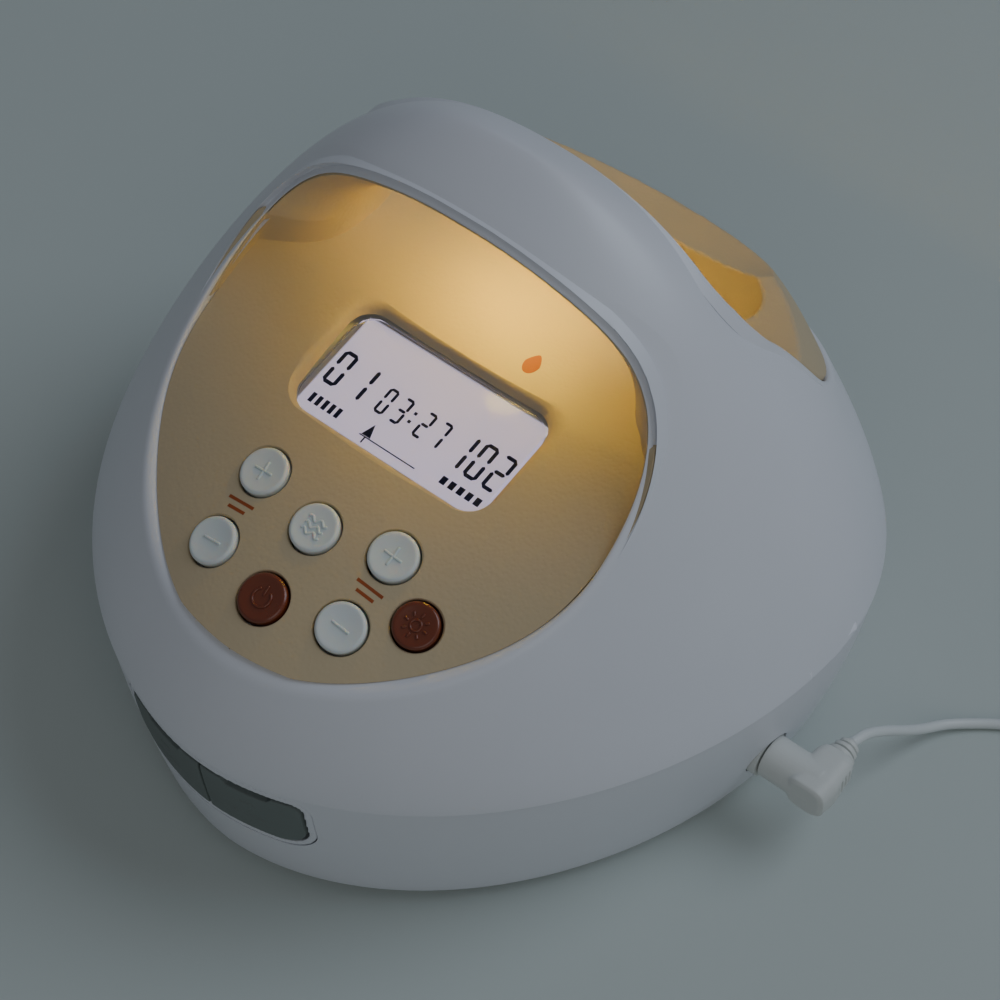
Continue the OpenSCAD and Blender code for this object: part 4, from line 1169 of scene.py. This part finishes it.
@dataclass
class BaseShell:
    """White tub under the seam, with the port bay, the jack hole, screw wells and feet."""

    feet: tuple[tuple[float, float], ...] = ((-44, 48), (44, 48), (-44, -50), (44, -50))
    posts: tuple[tuple[float, float], ...] = ((-60, 40), (60, 40), (-62, -22), (62, -22), (0, 70))

    def build(self) -> None:
        """Makes the tub and the feet."""
        tub = FORM.tub("base_shell_look", 0.0, 420)
        inner = FORM.tub("inner", 2.6, 256)
        inner.data.transform(Matrix.Translation((0, 0, 2.6 * MM)))
        combine(tub, inner)
        rib = FORM.tub("rib", 2.4, 256)
        combine(rib, box_solid("low", (-120, -120, -5), (120, 120, 46)))
        rib.data.transform(Matrix.Translation((0, 0, 1.5 * MM)))
        core = FORM.tub("core", 3.8, 256)
        core.data.transform(Matrix.Translation((0, 0, 6 * MM)))
        combine(rib, core)
        combine(tub, rib, "UNION")
        for x, y in self.posts:
            combine(tub, place(cylinder("post", 4, 2.5, 45.5, 32), Matrix.Translation((x, y, 0))), "UNION")
            combine(tub, place(cylinder("well", 3.3, -5, 5, 32), Matrix.Translation((x, y, 0))))
            combine(tub, place(cylinder("bore", 1.7, 4, 60, 24), Matrix.Translation((x, y, 0))))
        for x, y in self.feet:
            combine(tub, place(cylinder("pocket", 7.2, -5, 2.3, 48), Matrix.Translation((x, y, 0))))
        combine(tub, PortBay().block(2.2))
        combine(tub, place(cylinder("jack_hole", 6.3, 70, 110), Matrix.Translation((0, 4, 21))
                           @ Matrix.Rotation(math.pi / 2, 4, "Y")))
        mount(shade(tub, 32), Finishes.shell, stands_for=["base_shell"])
        feet = []
        for x, y in self.feet:
            foot = lathe("foot", [(0, 0), (5.2, 0), (5.8, 0.15), (6, 0.6), (6.9, 0.7), (7, 1.0), (7, 2.2),
                                  (0, 2.2)], 56)
            feet.append(place(foot, Matrix.Translation((x, y, 0))))
        mount(shade(join("rubber_feet_look", feet), 40), Finishes.rubber, stands_for=["rubber_feet"])


# ---------------------------------------------------------------- keys

@dataclass
class Key:
    """One round key with a dished face, its mark and its hidden stem."""

    spot: KeyPlace
    proud: float = 0.9

    def face(self, r: np.ndarray) -> np.ndarray:
        """Height of the face over the panel at a distance from the middle."""
        edge = self.spot.diameter / 2
        return self.proud - 0.42 * np.clip(1 - (r / (edge - 0.9)) ** 2, 0, 1) \
            - 0.5 * np.clip((r - edge + 0.7) / 0.7, 0, 1) ** 2

    def lines(self) -> list[tuple[list[tuple[float, float]], bool]]:
        """Lines of the mark, and whether each is closed."""
        def arc(r: float, start: float, end: float, count: int = 36) -> list[tuple[float, float]]:
            return [(r * math.sin(math.radians(a)), r * math.cos(math.radians(a)))
                    for a in np.linspace(start, end, count)]

        def bar(x0: float, y0: float, x1: float, y1: float) -> list[tuple[float, float]]:
            return [(x0 + (x1 - x0) * t, y0 + (y1 - y0) * t) for t in np.linspace(0, 1, 9)]

        if self.spot.mark == "plus":
            return [(bar(-2.3, 0, 2.3, 0), False), (bar(0, -2.3, 0, 2.3), False)]
        if self.spot.mark == "minus":
            return [(bar(-2.3, 0, 2.3, 0), False)]
        if self.spot.mark == "waves":
            wave = [(x, 0.5 * math.sin(x * 2.4)) for x in np.linspace(-2.5, 2.5, 31)]
            return [([(x, y + shift) for x, y in wave], False) for shift in (-1.6, 0, 1.6)]
        if self.spot.mark == "power":
            return [(arc(2.2, 38, 322), False), (bar(0, 0.6, 0, 2.9), False)]
        rays = [[(r * math.sin(a), r * math.cos(a)) for r in np.linspace(2.1, 3.0, 4)]
                for a in np.linspace(0, 2 * math.pi, 8, endpoint=False)]
        return [(arc(1.25, 0, 350, 30), True), *[(ray, False) for ray in rays]]

    def build(self) -> None:
        """Makes the key and its mark, riding on the key's own body."""
        edge = self.spot.diameter / 2
        radii = np.concatenate([np.linspace(0, edge - 0.9, 14), np.linspace(edge - 0.8, edge, 9)[1:]])
        profile = [(float(r), float(h)) for r, h in zip(radii, self.face(radii))]
        profile += [(edge, 0.1), (edge, -2.8), (edge - 0.3, -3.0), (0, -3.0)]
        cap = place(lathe("cap", profile, 96), panel_frame(self.spot.x, self.spot.y))
        level = float(FORM.panel_z(self.spot.x, self.spot.y))
        tilt = math.radians(23.6)
        depth = -self.spot.y * math.sin(tilt) + level * math.cos(tilt) - 86.5
        stand = Matrix.Translation((self.spot.x, self.spot.y, level)) @ Matrix.Rotation(tilt, 4, "X")
        stem = lathe("stem", [(0, -depth + 5.4), (2.2, -depth + 5.4), (2.2, -5.2), (edge + 0.8, -5.2),
                              (edge + 0.8, -4.3), (edge - 0.6, -4.3), (edge - 0.6, -2.2), (0, -2.2)], 48)
        piece = combine(cap, place(stem, stand), "UNION")
        mount(shade(join(self.spot.body + "_look", [piece]), 42), self.spot.finish, self.spot.body,
              [self.spot.body])
        beads = []
        for line, closed in self.lines():
            points = [[x, y, float(self.face(np.hypot(x, y))) + 0.02] for x, y in line]
            if closed:
                points.append(points[0])
            beads.append(tube("bead", np.array(points), 0.33, 10))
        mark = place(join(self.spot.body + "_mark", beads), panel_frame(self.spot.x, self.spot.y))
        mount(shade(mark, 60), self.spot.finish, self.spot.body)


# ---------------------------------------------------------------- display

SEGMENTS = {"0": "abcdef", "1": "bc", "2": "abged", "3": "abgcd", "7": "abc"}


@dataclass
class Display:
    """Lit liquid crystal display under its clear window."""

    top: float = -1.57
    ink: list[np.ndarray] = field(default_factory=list)

    def patch(self, ring: Sequence[tuple[float, float]]) -> None:
        """Adds one printed shape, given from the display's lower left corner."""
        flat = np.array(ring, float) - [27.6, 14.5]
        self.ink.append(np.column_stack([flat, np.zeros(len(flat))]))

    def digit(self, code: str, u: float, v: float, wide: float, high: float, weight: float) -> None:
        """Adds one upright seven-segment digit with its lower left corner at (u, v)."""
        w, h = weight, high / 2
        bars = {"a": (u, v + high - w, u + wide, v + high), "b": (u + wide - w, v + h, u + wide, v + high),
                "c": (u + wide - w, v, u + wide, v + h), "d": (u, v, u + wide, v + w),
                "e": (u, v, u + w, v + h), "f": (u, v + h, u + w, v + high),
                "g": (u, v + h - w / 2, u + wide, v + h + w / 2)}
        cut = w * 0.45
        for name in SEGMENTS[code]:
            x0, y0, x1, y1 = bars[name]
            if name in "agd":
                x0, x1 = x0 + cut, x1 - cut
                mid = (y0 + y1) / 2
                self.patch([(x0, mid), (x0 + cut, y0), (x1 - cut, y0),
                            (x1, mid), (x1 - cut, y1), (x0 + cut, y1)])
            else:
                y0, y1 = y0 + cut, y1 - cut
                mid = (x0 + x1) / 2
                self.patch([(mid, y0), (x1, y0 + cut), (x1, y1 - cut),
                            (mid, y1), (x0, y1 - cut), (x0, y0 + cut)])

    def content(self) -> None:
        """Lays out the numbers and the small plain marks."""
        for u in (2.6, 9.3):
            self.digit("0" if u < 5 else "1", u, 8.8, 4.0, 9.7, 1.0)
        for code, u in zip("0327", (17.5, 22.0, 28.6, 33.1)):
            self.digit(code, u, 9.3, 2.7, 7.2, 0.72)
        for v in (11.3, 13.7):
            self.patch([(26.0, v), (26.8, v), (26.8, v + 0.8), (26.0, v + 0.8)])
        for code, u in zip("102", (39.2, 44.4, 49.6)):
            self.digit(code, u, 7.8, 3.8, 9.8, 0.95)
        for u in np.arange(3.6, 13.0, 1.9):
            self.patch([(u, 3.0), (u + 1.1, 3.0), (u + 1.1, 5.6), (u, 5.6)])
        for u in np.arange(41.6, 52.8, 2.4):
            self.patch([(u, 3.4), (u + 1.5, 3.4), (u + 1.5, 5.4), (u, 5.4)])
        self.patch([(19.1, 2.9), (35.1, 2.9), (35.1, 3.2), (19.1, 3.2)])
        self.patch([(19.5, 3.3), (20.75, 6.8), (22.0, 3.3)])
        self.patch([(20.6, 1.4), (21.0, 1.4), (21.0, 2.9), (20.6, 2.9)])

    def build(self) -> None:
        """Makes the glass, the print and the window."""
        self.content()
        glass = loft("lcd_panel_look", [rounded(52.2, 27, 0.6, z, 4) for z in (-4.2, -1.6)])
        mount(shade(place(glass, LCD_FRAME)), Finishes.lcd, stands_for=["lcd_panel"])
        shapes = [loft("shape", [ring + [0, 0, z] for z in (self.top - 0.02, self.top + 0.02)])
                  for ring in self.ink]
        mount(place(join("lcd_print", shapes), LCD_FRAME), Finishes.ink)
        window = loft("lcd_window_look", [rounded(54.6 - 2 * g, 28.4 - 2 * g, 5.7 - g, z) for g, z in (
            (0.2, -1.2), (0, -1.05), (0, -0.3), (0.12, -0.08), (0.35, 0.0))])
        mount(shade(place(window, LCD_FRAME), 40), Finishes.window, stands_for=["lcd_window"])


@dataclass
class PanelPrint:
    """Generic amber marks printed on the panel: bars between the key pairs and a drop above the display."""

    def shape(self, ring: Sequence[tuple[float, float]]) -> bpy.types.Object:
        """One printed shape that follows the panel."""
        flat = np.array(ring, float)
        z = FORM.panel_z(flat[:, 0], flat[:, 1])
        return loft("print", [np.column_stack([flat, z + rise]) for rise in (-0.2, 0.05)])

    def build(self) -> None:
        """Prints every mark."""
        shapes = []
        for side in (-1, 1):
            for row, half in ((-52.6, 3.6), (-54.4, 2.4)):
                left, right = side * 18.7 - half, side * 18.7 + half
                shapes.append(self.shape([(left, row - 0.35), (right, row - 0.35),
                                          (right, row + 0.35), (left, row + 0.35)]))
        drop_ring = [(14 + 2.0 * math.sin(a) * (1 - 0.45 * max(0, math.cos(a))), 9 + 2.9 * math.cos(a))
                     for a in np.linspace(0, 2 * math.pi, 40, endpoint=False)]
        shapes.append(self.shape(drop_ring[::-1]))
        mount(join("panel_print", shapes), Finishes.print_amber)


# ---------------------------------------------------------------- hidden mechanism

# Material slot of each hidden node that is not an uncoloured moulding
SLOT_OF = {
    "key_switches": "black_plastic", "control_board": "circuit_board", "night_light_board": "circuit_board",
    "main_board": "circuit_board", "ribbon_cable": "cable_grey", "motor": "plated_steel",
    "diaphragm": "black_rubber", "release_valve": "valve_blue", "valve_plunger": "plated_steel",
    "air_hoses": "hose_silicone", "dc_jack": "plug_grey", "lead_tie": "black_plastic",
    "adapter_prongs": "plated_steel", "base_screws": "plated_steel", "board_screws": "plated_steel",
    "handle_screws": "plated_steel",
}


@dataclass
class Mechanism:
    """Everything that keeps its CAD shape: the pump, boards, wiring, screws and sockets."""

    def build(self) -> None:
        """Gives every CAD node that still shows its real finish."""
        slots = {m["slot"]: m for m in frame["record"]["materials"]}
        log.info("material slots: %s", ", ".join(slots))
        for name, node in frame["nodes"].items():
            if node.hide_render:
                continue
            slot = SLOT_OF.get(name, "inner_plastic")
            node.data.materials.clear()
            node.data.materials.append(Finishes.by_slot(slot).build())
            node.data.shade_smooth()
            node.data.set_sharp_from_angle(angle=math.radians(35))


def main() -> None:
    """Builds the whole object in order."""
    logging.basicConfig(level=logging.INFO, format="%(name)s: %(message)s")
    Studio().build()
    Lead().build()
    for part in (UpperShell(), HandleLiner(), ControlFascia(), RearRecess(), BaseShell(), PortBay(),
                 Display(), PanelPrint(), *[Key(spot) for spot in KEYS], Mechanism()):
        log.info("building %s", type(part).__name__)
        part.build()


if __name__ == "__main__":
    main()
